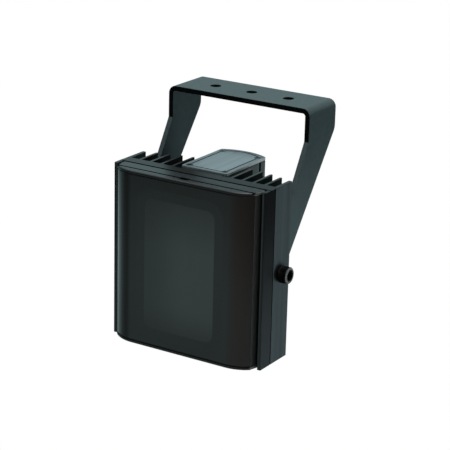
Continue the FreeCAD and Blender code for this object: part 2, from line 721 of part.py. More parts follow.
def light_frame():
    """Black moulded frame between the board and the window, with four ears."""
    half_x = LIT_WIDTH / 2 + FRAME_WALL
    half_z = LIT_HEIGHT / 2 + FRAME_WALL
    depth = BOARD_FRONT_Y - FRAME_FRONT_Y
    corner = LIT_CORNER + FRAME_WALL
    frame = facing_prism(rectangle_corners(-half_x, -half_z, half_x, half_z, corner), BOARD_FRONT_Y, depth)
    for x, z in board_screw_places():
        outer = x + math.copysign(FRAME_EAR_SIZE / 2, x)
        inner = x - math.copysign(FRAME_EAR_SIZE / 2 + FRAME_WALL / 2, x)
        ear = block(V(min(inner, outer), BOARD_FRONT_Y - FRAME_EAR_THICKNESS, z - FRAME_EAR_SIZE / 2),
                    V(max(inner, outer), BOARD_FRONT_Y, z + FRAME_EAR_SIZE / 2))
        frame = frame.fuse(ear)
    clear_x = LIT_WIDTH / 2 + DIFFUSER_CLEARANCE
    clear_z = LIT_HEIGHT / 2 + DIFFUSER_CLEARANCE
    rebate = rectangle_corners(-clear_x, -clear_z, clear_x, clear_z, LIT_CORNER)
    rebate_back = FRAME_FRONT_Y + DIFFUSER_THICKNESS
    frame = frame.cut(facing_prism(rebate, rebate_back, DIFFUSER_THICKNESS + OVERRUN))
    hole_x = LIT_WIDTH / 2 - FRAME_LEDGE
    hole_z = LIT_HEIGHT / 2 - FRAME_LEDGE
    through = rectangle_corners(-hole_x, -hole_z, hole_x, hole_z, LIT_CORNER - FRAME_LEDGE)
    frame = frame.cut(facing_prism(through, BOARD_FRONT_Y + OVERRUN, depth + 2 * OVERRUN))
    return cut_screw_holes(frame, M3_RADIUS + SCREW_HOLE_CLEARANCE)


def diffuser_plate():
    """Frosted plate in the front of the light frame."""
    corners = rectangle_corners(-LIT_WIDTH / 2, -LIT_HEIGHT / 2, LIT_WIDTH / 2, LIT_HEIGHT / 2, LIT_CORNER)
    return facing_prism(corners, DIFFUSER_FRONT_Y + DIFFUSER_THICKNESS, DIFFUSER_THICKNESS)


def light_engine_screws():
    """Screws through the frame's ears and the board into the base plate."""
    length = FRAME_EAR_THICKNESS + BOARD_THICKNESS + PAD_THICKNESS + SCREW_BITE
    screw = pan_head_screw(M3_RADIUS, M3_HEAD_RADIUS, M3_HEAD_HEIGHT, length)
    front = BOARD_FRONT_Y - FRAME_EAR_THICKNESS
    return group([along_y(screw, V(x, front, z)) for x, z in board_screw_places()])


def box_face(inset):
    """Section of the box: square front, bowed back, drawn in by an inset."""
    half = BOX_WIDTH / 2 - inset
    front = BOX_FRONT_Y + inset
    rear = BOX_REAR_Y - inset
    edges = [line_edge(V(-half, front, 0), V(half, front, 0)),
             line_edge(V(half, front, 0), V(half, rear, 0)),
             arc_edge(V(half, rear, 0), V(0, rear + BOX_BOW, 0), V(-half, rear, 0)),
             line_edge(V(-half, rear, 0), V(-half, front, 0))]
    return Part.Face(Part.Wire(edges))


def box_prism(inset, bottom, height):
    """Length of the box's section with rounded upright edges."""
    solid = prism(box_face(inset), bottom, height)
    upright = [edge for edge in solid.Edges if edge.BoundBox.ZLength > height / 2]
    return solid.makeFillet(max(BOX_CORNER - inset, BOX_CORNER_LEAST), upright)


def box_boss_places():
    """Middles of the four screw channels, in X and Y."""
    half = BOX_WIDTH / 2 - BOX_BOSS_INSET_X
    ends = (BOX_FRONT_Y + BOX_BOSS_INSET_Y, BOX_REAR_Y - BOX_BOSS_INSET_Y)
    return [(side * half, y) for side in (-1, 1) for y in ends]


def driver_ribs():
    """Ribs inside the case that hold the edges of the driver board."""
    ribs = []
    gap = DRIVER_BOARD_THICKNESS / 2 + DRIVER_BOARD_CLEARANCE
    for side in (-1, 1):
        near = DRIVER_BOARD_X + side * gap
        far = near + side * DRIVER_RIB_WIDTH
        low_x = min(near, far)
        high_x = max(near, far)
        front = BOX_FRONT_Y + BOX_WALL
        rear = BOX_REAR_Y + BOX_BOW - BOX_WALL / 2
        ribs.append(block(V(low_x, front - OVERRUN, BOX_SHELL_START),
                          V(high_x, front + DRIVER_RIB_HEIGHT, BOX_SHELL_START + BOX_SHELL_LENGTH)))
        ribs.append(block(V(low_x, BOX_REAR_Y - DRIVER_RIB_HEIGHT, BOX_SHELL_START),
                          V(high_x, rear, BOX_SHELL_START + BOX_SHELL_LENGTH)))
    return ribs


def box_shell():
    """Extruded case with screw channels, board ribs and a groove down each side."""
    case = box_prism(0, BOX_SHELL_START, BOX_SHELL_LENGTH)
    hollow = prism(box_face(BOX_WALL), BOX_SHELL_START, BOX_SHELL_LENGTH)
    boss = Part.makeCylinder(BOX_BOSS_RADIUS, BOX_SHELL_LENGTH)
    inner = []
    for x, y in box_boss_places():
        one = boss.copy()
        one.translate(V(x, y, BOX_SHELL_START))
        inner.append(one)
    kept = inner[0].fuse(inner[1:] + driver_ribs()).common(case)
    shell = case.cut(hollow).fuse(kept)
    channel = Part.makeCylinder(M3_RADIUS, BOX_SHELL_LENGTH)
    cuts = []
    for x, y in box_boss_places():
        one = channel.copy()
        one.translate(V(x, y, BOX_SHELL_START))
        cuts.append(one)
    groove_y = BOX_FRONT_Y + BOX_GROOVE_BACK
    groove = block(V(BOX_WIDTH / 2 - BOX_GROOVE_DEPTH, groove_y - BOX_GROOVE_WIDTH / 2, BOX_SHELL_START),
                   V(BOX_WIDTH / 2 + OVERRUN, groove_y + BOX_GROOVE_WIDTH / 2,
                     BOX_SHELL_START + BOX_SHELL_LENGTH))
    inside_front = BOX_FRONT_Y + BOX_WALL + OVERRUN
    fixing = Part.makeCylinder(M4_RADIUS + SCREW_HOLE_CLEARANCE, BOX_WALL + 2 * OVERRUN)
    for z in box_fixing_heights():
        cuts.append(along_y(fixing, V(0, inside_front, z)))
    wire_way = Part.makeCylinder(GROMMET_RADIUS, BOX_WALL + 2 * OVERRUN)
    cuts.append(along_y(wire_way, V(0, inside_front, GROMMET_UP)))
    shell = shell.cut(cuts + [groove, mirrored(groove)])
    return shell.removeSplitter()


def box_top_plate():
    """Upper end plate of the box, with a shallow groove all the way round and countersunk holes."""
    bottom = BOX_TOP_Z - BOX_PLATE_THICKNESS
    plate = box_prism(0, bottom, BOX_PLATE_THICKNESS)
    groove_bottom = BOX_TOP_Z - PLATE_GROOVE_DEPTH
    groove = prism(box_face(PLATE_GROOVE_INSET), groove_bottom, BOX_PLATE_THICKNESS)
    island = prism(box_face(PLATE_GROOVE_INSET + PLATE_GROOVE_WIDTH), groove_bottom, BOX_PLATE_THICKNESS)
    cuts = [groove.cut(island)]
    for x, y in box_boss_places():
        seat = flat_head_seat(M3_RADIUS, M3_HEAD_RADIUS, M3_HEAD_HEIGHT, BOX_PLATE_THICKNESS)
        seat.translate(V(x, y, BOX_TOP_Z))
        cuts.append(seat)
    return plate.cut(cuts)


def gland_place():
    """Middle of the cable gland where it meets the lower end plate's outside."""
    return V(0, BOX_FRONT_Y + GLAND_SET_BACK, BOX_BOTTOM_Z)


def box_bottom_plate():
    """Lower end plate: the upper one turned over, with the gland's hole."""
    hole = Part.makeCylinder(GLAND_THREAD_RADIUS, BOX_PLATE_THICKNESS + 2 * OVERRUN)
    hole.translate(gland_place() - V(0, 0, OVERRUN))
    return flipped(box_top_plate()).cut(hole)


def box_seal():
    """Rubber ring under the upper end plate."""
    bottom = BOX_TOP_Z - BOX_PLATE_THICKNESS - BOX_SEAL_THICKNESS
    ring_face = box_prism(BOX_SEAL_RECESS, bottom, BOX_SEAL_THICKNESS)
    opening = prism(box_face(BOX_WALL), bottom, BOX_SEAL_THICKNESS)
    return ring_face.cut(opening)


def box_plate_screws():
    """Four countersunk screws of the upper end plate."""
    screws = []
    for x, y in box_boss_places():
        screw = flat_head_screw(M3_RADIUS, M3_HEAD_RADIUS, M3_HEAD_HEIGHT,
                                BOX_PLATE_THICKNESS + BOX_SEAL_THICKNESS + SCREW_BITE)
        screw.translate(V(x, y, BOX_TOP_Z))
        screws.append(screw)
    return group(screws)


def box_fixing_screws():
    """Countersunk screws from the base plate's face into the box."""
    screw = flat_head_screw(M4_RADIUS, M4_HEAD_RADIUS, M4_HEAD_HEIGHT, box_fixing_length())
    return group([along_y(screw, V(0, BASE_SET_BACK, z)) for z in box_fixing_heights()])


def box_fixing_nuts():
    """Nuts of those screws, inside the box."""
    nut = hexagon_prism(M4_NUT_ACROSS_FLATS, M4_NUT_THICKNESS)
    nut = nut.cut(Part.makeCylinder(M4_RADIUS, M4_NUT_THICKNESS))
    seat = BOX_FRONT_Y + BOX_WALL + M4_NUT_THICKNESS
    return group([along_y(nut, V(0, seat, z)) for z in box_fixing_heights()])


def driver_board():
    """Power supply board, standing between the ribs."""
    front = BOX_FRONT_Y + BOX_WALL + DRIVER_BOARD_CLEARANCE
    rear = BOX_REAR_Y - BOX_WALL
    half = DRIVER_BOARD_THICKNESS / 2
    low = MID_Z - DRIVER_BOARD_HEIGHT / 2
    high = low + DRIVER_BOARD_HEIGHT
    return block(V(DRIVER_BOARD_X - half, front, low), V(DRIVER_BOARD_X + half, rear, high))


def on_driver_board(solid, back, up):
    """Stand a solid drawn along +Z on the board's right face, so far behind the box's front and so far up."""
    turned = solid.copy()
    turned.rotate(V(0, 0, 0), V(0, 1, 0), 90)
    face_x = DRIVER_BOARD_X + DRIVER_BOARD_THICKNESS / 2
    turned.translate(V(face_x, BOX_FRONT_Y + back, MID_Z - DRIVER_BOARD_HEIGHT / 2 + up))
    return turned


def driver_capacitors():
    """Row of upright capacitors."""
    can = Part.makeCylinder(CAPACITOR_RADIUS, CAPACITOR_LENGTH)
    pitch = CAPACITOR_RADIUS * 2 + CAPACITOR_GAP
    up = DRIVER_BOARD_HEIGHT - CAPACITOR_RADIUS - CAPACITOR_END_MARGIN
    row = [CAPACITOR_ROW_BACK + step * pitch for step in range(CAPACITOR_COUNT)]
    return group([on_driver_board(can, back, up) for back in row])


def driver_coil():
    """Wound ring coil."""
    coil = ring(COIL_RADIUS, COIL_HOLE_RADIUS, COIL_LENGTH)
    return on_driver_board(coil, BOX_DEPTH / 2, DRIVER_BOARD_HEIGHT / 2)


def terminal_block():
    """Screw terminals for the supply wires."""
    body = block(V(0, -TERMINAL_WIDTH / 2, 0), V(TERMINAL_HEIGHT, TERMINAL_WIDTH / 2, TERMINAL_DEPTH))
    pitch = TERMINAL_WIDTH / TERMINAL_POLES
    hole = Part.makeCylinder(pitch * TERMINAL_HOLE_SHARE, TERMINAL_DEPTH / 2)
    for pole in range(TERMINAL_POLES):
        y = (pole - (TERMINAL_POLES - 1) / 2) * pitch
        one = hole.copy()
        one.translate(V(TERMINAL_HEIGHT / 2, y, TERMINAL_DEPTH / 2))
        body = body.cut(one)
    return on_driver_board(body, BOX_DEPTH / 2, TERMINAL_HEIGHT + TERMINAL_END_MARGIN)


def hanging(solid):
    """Turn a gland piece drawn upwards so that it hangs from the lower end plate."""
    turned = solid.mirror(V(0, 0, 0), V(0, 0, 1))
    turned.translate(gland_place())
    return turned


def gland_body():
    """Gland body: hexagon under the plate, neck below it and thread through the plate."""
    thread_up = BOX_PLATE_THICKNESS + GLAND_LOCKNUT_THICKNESS + THREAD_PAST_NUT
    body = hexagon_prism(GLAND_ACROSS_FLATS, GLAND_FLANGE_HEIGHT)
    neck = Part.makeCylinder(GLAND_NECK_RADIUS, GLAND_FLANGE_HEIGHT + GLAND_NECK_HEIGHT)
    thread = Part.makeCylinder(GLAND_THREAD_RADIUS, thread_up, V(0, 0, -thread_up))
    bore = Part.makeCylinder(GLAND_BORE_RADIUS, thread_up + GLAND_FLANGE_HEIGHT + GLAND_NECK_HEIGHT,
                             V(0, 0, -thread_up))
    return hanging(body.fuse([neck, thread]).cut(bore).removeSplitter())


def gland_dome():
    """Clamping nut over the neck, domed at its mouth."""
    start = GLAND_FLANGE_HEIGHT + GLAND_DOME_GAP
    dome = hexagon_prism(GLAND_DOME_ACROSS_FLATS, GLAND_DOME_HEIGHT)
    crown = Part.makeCylinder(GLAND_DOME_ACROSS_FLATS / 2 * GLAND_DOME_CROWN_SHARE, GLAND_DOME_HEIGHT)
    rim = [edge for edge in crown.Edges if edge.BoundBox.ZMin > GLAND_DOME_HEIGHT / 2]
    crown = crown.makeFillet(GLAND_DOME_ROUNDING, rim)
    dome = dome.common(crown)
    dome = dome.cut(Part.makeCylinder(GLAND_NECK_RADIUS, GLAND_NECK_HEIGHT))
    dome = dome.cut(Part.makeCylinder(GLAND_BORE_RADIUS, GLAND_DOME_HEIGHT + OVERRUN))
    dome.translate(V(0, 0, start))
    return hanging(dome)


def gland_locknut():
    """Nut inside the box that holds the gland."""
    nut = hexagon_prism(GLAND_ACROSS_FLATS, GLAND_LOCKNUT_THICKNESS)
    nut = nut.cut(Part.makeCylinder(GLAND_THREAD_RADIUS, GLAND_LOCKNUT_THICKNESS))
    nut.translate(gland_place() + V(0, 0, BOX_PLATE_THICKNESS))
    return nut


def wire_grommet():
    """Rubber grommet in the wire way between the box and the light engine."""
    length = BASE_THICKNESS + BOX_PAD_HEIGHT + BOX_WALL
    tube = Part.makeCylinder(GROMMET_RADIUS, length)
    flange = Part.makeCylinder(GROMMET_FLANGE_RADIUS, GROMMET_FLANGE_THICKNESS)
    front = flange.copy()
    front.translate(V(0, 0, length))
    back = flange.copy()
    back.translate(V(0, 0, -GROMMET_FLANGE_THICKNESS))
    bore = Part.makeCylinder(GROMMET_BORE_RADIUS, length + 2 * GROMMET_FLANGE_THICKNESS,
                             V(0, 0, -GROMMET_FLANGE_THICKNESS))
    grommet = tube.fuse([front, back]).cut(bore)
    return along_y(grommet, V(0, BOX_FRONT_Y + BOX_WALL, GROMMET_UP))


def tangent_point(far_y, far_z, side):
    """Where a straight edge from a bend touches the arm's round end, in Y and Z from the pivot."""
    dy = far_y - PIVOT_Y
    dz = far_z - PIVOT_Z
    distance = math.hypot(dy, dz)
    turn = math.atan2(dz, dy) - side * math.acos(ARM_EYE_RADIUS / distance)
    return PIVOT_Y + ARM_EYE_RADIUS * math.cos(turn), PIVOT_Z + ARM_EYE_RADIUS * math.sin(turn)


def arm_outline():
    """Side view of the bracket as a face: y across, z up, with the pivot eye at its lower end."""
    half = STRAP_WIDTH / 2
    front_bend = (-half, -ARM_FRONT_STRAIGHT)
    rear_bend = (half, -ARM_REAR_STRAIGHT)
    front_touch = tangent_point(front_bend[0], front_bend[1], -1)
    rear_touch = tangent_point(rear_bend[0], rear_bend[1], 1)
    arms = rounded_face([(-half, 0, 0), (half, 0, 0), (rear_bend[0], rear_bend[1], ARM_KNEE_RADIUS),
                         (rear_touch[0], rear_touch[1], 0), (front_touch[0], front_touch[1], 0),
                         (front_bend[0], front_bend[1], ARM_KNEE_RADIUS / 3)])
    return arms, Part.Face(Part.Wire(Part.makeCircle(ARM_EYE_RADIUS, V(PIVOT_Y, PIVOT_Z, 0))))


def u_bracket():
    """Folded bracket: the U seen from the front, trimmed to the outline seen from the side."""
    bottom = PIVOT_Z - ARM_EYE_RADIUS - OVERRUN
    below = bottom - OVERRUN
    outside_bend = STRAP_INSIDE_BEND + STRAP_THICKNESS
    outer = [(-ARM_OUTER_X, 0, outside_bend), (ARM_OUTER_X, 0, outside_bend),
             (ARM_OUTER_X, bottom, 0), (-ARM_OUTER_X, bottom, 0)]
    inner = [(-ARM_INNER_X, -STRAP_THICKNESS, STRAP_INSIDE_BEND),
             (ARM_INNER_X, -STRAP_THICKNESS, STRAP_INSIDE_BEND),
             (ARM_INNER_X, below, 0), (-ARM_INNER_X, below, 0)]
    depth = BRACKET_SET_BACK + STRAP_WIDTH + 2 * ARM_EYE_RADIUS
    gap = prism(rounded_face(inner), -STRAP_WIDTH - OVERRUN, depth + 2 * OVERRUN)
    fold = from_xz(prism(rounded_face(outer), -STRAP_WIDTH, depth).cut(gap))
    arms, eye = arm_outline()
    reach = 2 * (ARM_OUTER_X + OVERRUN)
    side = prism(arms, -reach / 2, reach).fuse(prism(eye, -reach / 2, reach))
    bracket = fold.common(from_yz(side))
    hole = Part.makeCylinder(MOUNT_HOLE_RADIUS, STRAP_THICKNESS + 2 * OVERRUN)
    for step in range(MOUNT_HOLE_COUNT):
        x = (step - (MOUNT_HOLE_COUNT - 1) / 2) * MOUNT_HOLE_SPACING
        one = hole.copy()
        one.translate(V(x, 0, -STRAP_THICKNESS - OVERRUN))
        bracket = bracket.cut(one)
    bore = Part.makeCylinder(PIVOT_SCREW_RADIUS, reach, V(-reach / 2, PIVOT_Y, PIVOT_Z), V(1, 0, 0))
    return bracket.cut(bore).removeSplitter()


def at_pivot(solid, x):
    """Turn a solid drawn along +Z to point along +X and put it on the pivot axis."""
    turned = solid.copy()
    turned.rotate(V(0, 0, 0), V(0, 1, 0), 90)
    turned.translate(V(x, PIVOT_Y, PIVOT_Z))
    return turned


def pivot_screw():
    """Socket cap screw: head from z = 0 up, shank down through wall, washer and arm."""
    shank_length = WALL_THICKNESS + PIVOT_WASHER_THICKNESS + STRAP_THICKNESS
    head = Part.makeCylinder(PIVOT_HEAD_RADIUS, PIVOT_HEAD_HEIGHT)
    rim = [edge for edge in head.Edges if edge.BoundBox.ZMin > PIVOT_HEAD_HEIGHT / 2]
    head = head.makeChamfer(PIVOT_HEAD_CHAMFER, rim)
    socket = hexagon_prism(PIVOT_SOCKET_ACROSS_FLATS, PIVOT_SOCKET_DEPTH)
    socket.translate(V(0, 0, PIVOT_HEAD_HEIGHT - PIVOT_SOCKET_DEPTH))
    shank = Part.makeCylinder(PIVOT_SCREW_RADIUS, shank_length, V(0, 0, -shank_length))
    return head.fuse(shank).cut(socket)


def pivot_screws():
    """The two pivot screws."""
    screw = at_pivot(pivot_screw(), HALF_WIDTH)
    return group([screw, mirrored(screw)])


def pivot_washers():
    """Friction washers between the side walls and the arms."""
    washer = at_pivot(ring(PIVOT_WASHER_RADIUS, PIVOT_SCREW_RADIUS, PIVOT_WASHER_THICKNESS), ARM_OUTER_X)
    return group([washer, mirrored(washer)])


def place_head(shape):
    """Move a head piece to where the bracket carries it."""
    placed = shape.copy()
    placed.translate(HEAD_SHIFT)
    return placed


def head_pieces():
    """Every piece of the head by name, in head coordinates."""
    rail = window_rail()
    return {
        "heat_sink": heat_sink(),
        "front_window": front_window(),
        "window_rail_right": rail,
        "window_rail_left": mirrored(rail),
        "window_side_seals": window_side_seals(),
        "rail_screws": rail_screws(),
        "top_cap": top_cap(),
        "bottom_cap": flipped(top_cap()),
        "top_cap_seal": top_cap_seal(),
        "bottom_cap_seal": flipped(top_cap_seal()),
        "thermal_pad": thermal_pad(),
        "led_board": led_board(),
        "led_emitters": led_emitters(),
        "light_frame": light_frame(),
        "diffuser_plate": diffuser_plate(),
        "light_engine_screws": light_engine_screws(),
        "box_shell": box_shell(),
        "box_top_plate": box_top_plate(),
        "box_bottom_plate": box_bottom_plate(),
        "box_top_seal": box_seal(),
        "box_bottom_seal": flipped(box_seal()),
        "box_top_screws": box_plate_screws(),
        "box_bottom_screws": flipped(box_plate_screws()),
        "box_fixing_screws": box_fixing_screws(),
        "box_fixing_nuts": box_fixing_nuts(),
        "driver_board": driver_board(),
        "driver_capacitors": driver_capacitors(),
        "driver_coil": driver_coil(),
        "terminal_block": terminal_block(),
        "wire_grommet": wire_grommet(),
        "gland_body": gland_body(),
        "gland_dome": gland_dome(),
        "gland_locknut": gland_locknut(),
    }


def bracket_pieces():
    """Every piece of the bracket by name."""
    return {
        "u_bracket": u_bracket(),
        "pivot_screws": pivot_screws(),
        "pivot_washers": pivot_washers(),
    }


def main():
    """Write one STEP file for each piece."""
    os.makedirs("parts", exist_ok=True)
    pieces = bracket_pieces()
    for name, shape in head_pieces().items():
        pieces[name] = place_head(shape)
    for name, shape in pieces.items():
        shape.exportStep("parts/" + name + ".step")
        print(name, "solids", len(shape.Solids), "volume", round(shape.Volume, 1), "valid", shape.isValid())


main()
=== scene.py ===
import logging
import math
from dataclasses import dataclass
from enum import Enum
from functools import lru_cache
from typing import Sequence

import bmesh
import bpy
import numpy as np
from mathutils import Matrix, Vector


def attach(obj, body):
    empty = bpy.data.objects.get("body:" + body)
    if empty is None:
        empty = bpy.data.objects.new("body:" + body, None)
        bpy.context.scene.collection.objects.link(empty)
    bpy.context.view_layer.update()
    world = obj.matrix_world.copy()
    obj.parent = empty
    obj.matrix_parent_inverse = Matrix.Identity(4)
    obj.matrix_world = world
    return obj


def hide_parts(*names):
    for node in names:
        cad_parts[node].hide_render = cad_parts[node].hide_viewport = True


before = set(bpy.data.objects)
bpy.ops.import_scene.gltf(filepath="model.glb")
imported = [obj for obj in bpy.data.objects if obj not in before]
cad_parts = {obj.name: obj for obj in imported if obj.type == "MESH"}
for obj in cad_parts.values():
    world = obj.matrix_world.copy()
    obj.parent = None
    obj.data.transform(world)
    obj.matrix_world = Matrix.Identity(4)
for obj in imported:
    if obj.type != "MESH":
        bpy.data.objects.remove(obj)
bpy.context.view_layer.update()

LOG = logging.getLogger("illuminator")
MM = 0.001
TURN = 2 * math.pi
# Points closer together than this are one.
SAME_POINT = 0.001 * MM
# Width over which a crisp edge in a finish changes.
CRISP = 0.1 * MM
# The tilt axis in Y and Z. It also lies at half the head's height.
TILT_Y = -61.7 * MM
MIDDLE_Z = -117.5 * MM
Colour = tuple[float, float, float]
Size = tuple[float, float, float]
Socket = bpy.types.NodeSocket
Value = Socket | float
Paint = Socket | Colour
# Place of each station along an axis, and its radius or its radius at each angle.
Stations = Sequence[tuple[float, float | np.ndarray]]
WHITE: Colour = (255, 255, 255)


class Body(Enum):
    """The two rigid bodies that pieces ride on."""

    BRACKET = "bracket"
    HEAD = "head"


class Axis(Enum):
    """A direction of the frame, by its place in a coordinate."""

    X = 0
    Y = 1
    Z = 2


def linear(colour: Colour) -> tuple[float, float, float, float]:
    """Turn a colour as it looks on a screen, 0 to 255, into the linear one that a shader takes.

    Args:
        colour: Red, green and blue from 0 to 255.

    Returns:
        Linear red, green, blue and an alpha of 1.
    """
    parts = np.asarray(colour, dtype=float) / 255.0
    curve = np.where(parts <= 0.04045, parts / 12.92, ((parts + 0.055) / 1.055) ** 2.4)
    return (float(curve[0]), float(curve[1]), float(curve[2]), 1.0)


def lighter(colour: Colour, factor: float) -> Colour:
    """The same colour made lighter or darker by a factor, kept under white."""
    return tuple(min(255.0, part * factor) for part in colour)


class Nodes:
    """A node tree and the ways in which it grows."""

    def __init__(self, tree: bpy.types.NodeTree) -> None:
        """Work on a tree."""
        self.tree = tree

    def feed(self, socket: Socket, value: object) -> None:
        """Link an output into a socket, or set a constant on it.

        Args:
            socket: The input.
            value: The output, or a number, a vector or a colour from 0 to 255.
        """
        if isinstance(value, Socket):
            self.tree.links.new(value, socket)
        else:
            socket.default_value = linear(value) if socket.type == "RGBA" else value

    def node(self, kind: str, inputs: dict[str | int, object] | None = None, **settings: object) -> bpy.types.Node:
        """Add a node, set its properties and feed its inputs.

        Args:
            kind: The node's type name.
            inputs: What each input is fed with, by its name or number.
            **settings: Properties of the node.

        Returns:
            The new node.
        """
        made = self.tree.nodes.new(kind)
        for key, value in settings.items():
            setattr(made, key, value)
        for key, value in (inputs or {}).items():
            self.feed(made.inputs[key], value)
        return made

    def math(self, operation: str, first: Value, second: Value = 0.0) -> Socket:
        """Arithmetic on one or two outputs or plain numbers."""
        return self.node("ShaderNodeMath", {0: first, 1: second}, operation=operation).outputs[0]

    def product(self, first: Value, *others: Value) -> Value:
        """Several outputs or plain numbers, multiplied with each other.

        Args:
            first: The first of them.
            *others: The rest.

        Returns:
            The product's output, or the first where there are no others.
        """
        for other in others:
            first = self.math("MULTIPLY", first, other)
        return first

    def range(self, value: Socket, low: float, high: float) -> Socket:
        """A 0 to 1 output spread between two numbers."""
        return self.node("ShaderNodeMapRange", {"Value": value, "To Min": low, "To Max": high}).outputs["Result"]

    def rays(self, *kinds: str) -> Socket:
        """1 for rays of the named kinds and 0 for all others.

        Args:
            *kinds: Names of the kinds, such as Camera.

        Returns:
            The output.
        """
        path = self.node("ShaderNodeLightPath")
        seen = path.outputs[f"Is {kinds[0]} Ray"]
        for kind in kinds[1:]:
            seen = self.math("MAXIMUM", seen, path.outputs[f"Is {kind} Ray"])
        return seen


class Shader(Nodes):
    """A material's node tree, built from one principled shader outwards."""

    def __init__(self, name: str) -> None:
        """Make an empty material with a principled shader.

        Args:
            name: The material's name.
        """
        self.material = bpy.data.materials.new(name)
        self.material.use_nodes = True
        super().__init__(self.material.node_tree)
        self.surface = self.tree.nodes["Principled BSDF"]
        self.coordinates = self.node("ShaderNodeTexCoord").outputs["Object"]

    def give(self, socket: str, value: object) -> None:
        """Feed one of the principled shader's own sockets with an output or a constant."""
        self.feed(self.surface.inputs[socket], value)

    def noise(self, scale: float, stretch: Size = (1.0, 1.0, 1.0), detail: float = 3.0) -> Socket:
        """Noise over the piece, 0 to 1.

        Args:
            scale: Grains to the metre.
            stretch: Factor along each axis, below 1 to draw the grain out.
            detail: Octaves of the noise.

        Returns:
            The noise's value output.
        """
        place = self.node("ShaderNodeVectorMath", {0: self.coordinates, 1: stretch}, operation="MULTIPLY").outputs[0]
        return self.node("ShaderNodeTexNoise", {"Vector": place, "Scale": scale, "Detail": detail}).outputs["Fac"]

    def along(self, axis: Axis) -> Socket:
        """The piece's own coordinate along an axis, in metres."""
        return self.node("ShaderNodeSeparateXYZ", {0: self.coordinates}).outputs[axis.value]

    def away(self, axis: Axis, middle: float = 0.0) -> Socket:
        """Distance from a plane across an axis, in metres."""
        return self.math("ABSOLUTE", self.math("SUBTRACT", self.along(axis), middle))

    def reach(self, first: Socket, second: Socket) -> Socket:
        """Length of a vector with two parts."""
        return self.math("SQRT", self.math("ADD", self.product(first, first), self.product(second, second)))

    def step(self, value: Socket, edge: float, softness: float) -> Socket:
        """A smooth rise from 0 to 1 where a value passes an edge, or a fall.

        Args:
            value: The output that is compared.
            edge: Where the rise has its middle.
            softness: How wide the rise is, negative for a fall from 1 to 0.

        Returns:
            The rise as an output from 0 to 1.
        """
        ends = {"Value": value, "From Min": edge - softness / 2, "From Max": edge + softness / 2}
        return self.node("ShaderNodeMapRange", ends, interpolation_type="SMOOTHSTEP").outputs["Result"]

    def blend(self, factor: Socket, low: Paint, high: Paint) -> Socket:
        """A colour that goes from one to another with a factor, each a colour or an output."""
        return self.node("ShaderNodeMix", {"Factor": factor, 6: low, 7: high}, data_type="RGBA").outputs[2]

    def dim(self, colour: Socket, factor: Socket) -> Socket:
        """A colour output times a factor."""
        return self.node("ShaderNodeVectorMath", {0: colour, "Scale": factor}, operation="SCALE").outputs[0]

    def ramp(self, value: Socket, stops: Sequence[tuple[float, Colour]]) -> Socket:
        """A colour that runs through several stops.

        Args:
            value: Output from 0 to 1.
            stops: Place from 0 to 1 and colour of each stop, in rising order.

        Returns:
            The colour output.
        """
        made = self.node("ShaderNodeValToRGB", {"Fac": value})
        elements = made.color_ramp.elements
        for index, (place, colour) in enumerate(stops):
            stop = elements[index] if index < 2 else elements.new(place)
            stop.position = place
            stop.color = linear(colour)
        return made.outputs["Color"]

    def bump(self, height: Socket, strength: float, depth: float) -> None:
        """Add relief from a height output.

        Args:
            height: Height from 0 to 1.
            strength: How much of the relief shows.
            depth: The relief's depth in metres.
        """
        made = self.node("ShaderNodeBump", {"Strength": strength, "Distance": depth, "Height": height})
        self.give("Normal", made.outputs["Normal"])

    def glow_for(self, seen: Socket, colour: Paint) -> None:
        """Let the surface glow by itself for the rays that a factor picks, and shade it for all others.

        Args:
            seen: 1 for the rays that see the glow.
            colour: Colour or output of the glow.
        """
        glow = self.node("ShaderNodeEmission", {"Color": colour}).outputs[0]
        mix = self.node("ShaderNodeMixShader", {0: seen, 1: self.surface.outputs[0], 2: glow})
        self.feed(self.tree.nodes["Material Output"].inputs["Surface"], mix.outputs[0])


@dataclass(frozen=True)
class Limit:
    """A soft limit along an axis, met beyond its edge, or short of it where its softness is negative.

    Attributes:
        axis: Axis that it is measured along.
        edge: Where it lies.
        softness: How wide it is.
        middle: Where distances to both sides are measured from. Without it the plain coordinate counts.
    """

    axis: Axis
    edge: float
    softness: float
    middle: float | None = None

    def mask(self, shader: Shader) -> Socket:
        """1 where the limit is met and 0 elsewhere."""
        value = shader.along(self.axis) if self.middle is None else shader.away(self.axis, self.middle)
        return shader.step(value, self.edge, self.softness)


@dataclass(frozen=True)
class RoundLimit:
    """The same kind of limit on the distance from a line that runs along an axis.

    Attributes:
        axes: The two axes across the line.
        centre: Where the line lies on them.
        radius: Where the limit lies.
        softness: How wide it is, negative where it is met inside the radius.
    """

    axes: tuple[Axis, Axis]
    centre: tuple[float, float]
    radius: float
    softness: float

    def mask(self, shader: Shader) -> Socket:
        """1 where the limit is met and 0 elsewhere."""
        parts = [shader.away(axis, middle) for axis, middle in zip(self.axes, self.centre)]
        return shader.step(shader.reach(*parts), self.radius, self.softness)


# The part of a surface where every one of its limits is met.
Zone = tuple[Limit | RoundLimit, ...]


def zone_mask(shader: Shader, zone: Zone) -> Socket:
    """1 inside a zone and 0 elsewhere."""
    return shader.product(*(limit.mask(shader) for limit in zone))


def groove(across: Axis, middle: float, width: float, off: Axis, origin: float, distance: float) -> Zone:
    """Zone of a straight groove: a band across one axis, beyond a distance on another.

    Args:
        across: Axis that the band is measured along.
        middle: The band's middle on that axis.
        width: The band's width.
        off: Axis along which the grooved faces stand off.
        origin: Where that distance is measured from.
        distance: Least distance.

    Returns:
        The zone.
    """
    return Limit(across, width / 2, -3 * CRISP, middle), Limit(off, distance, CRISP, origin)


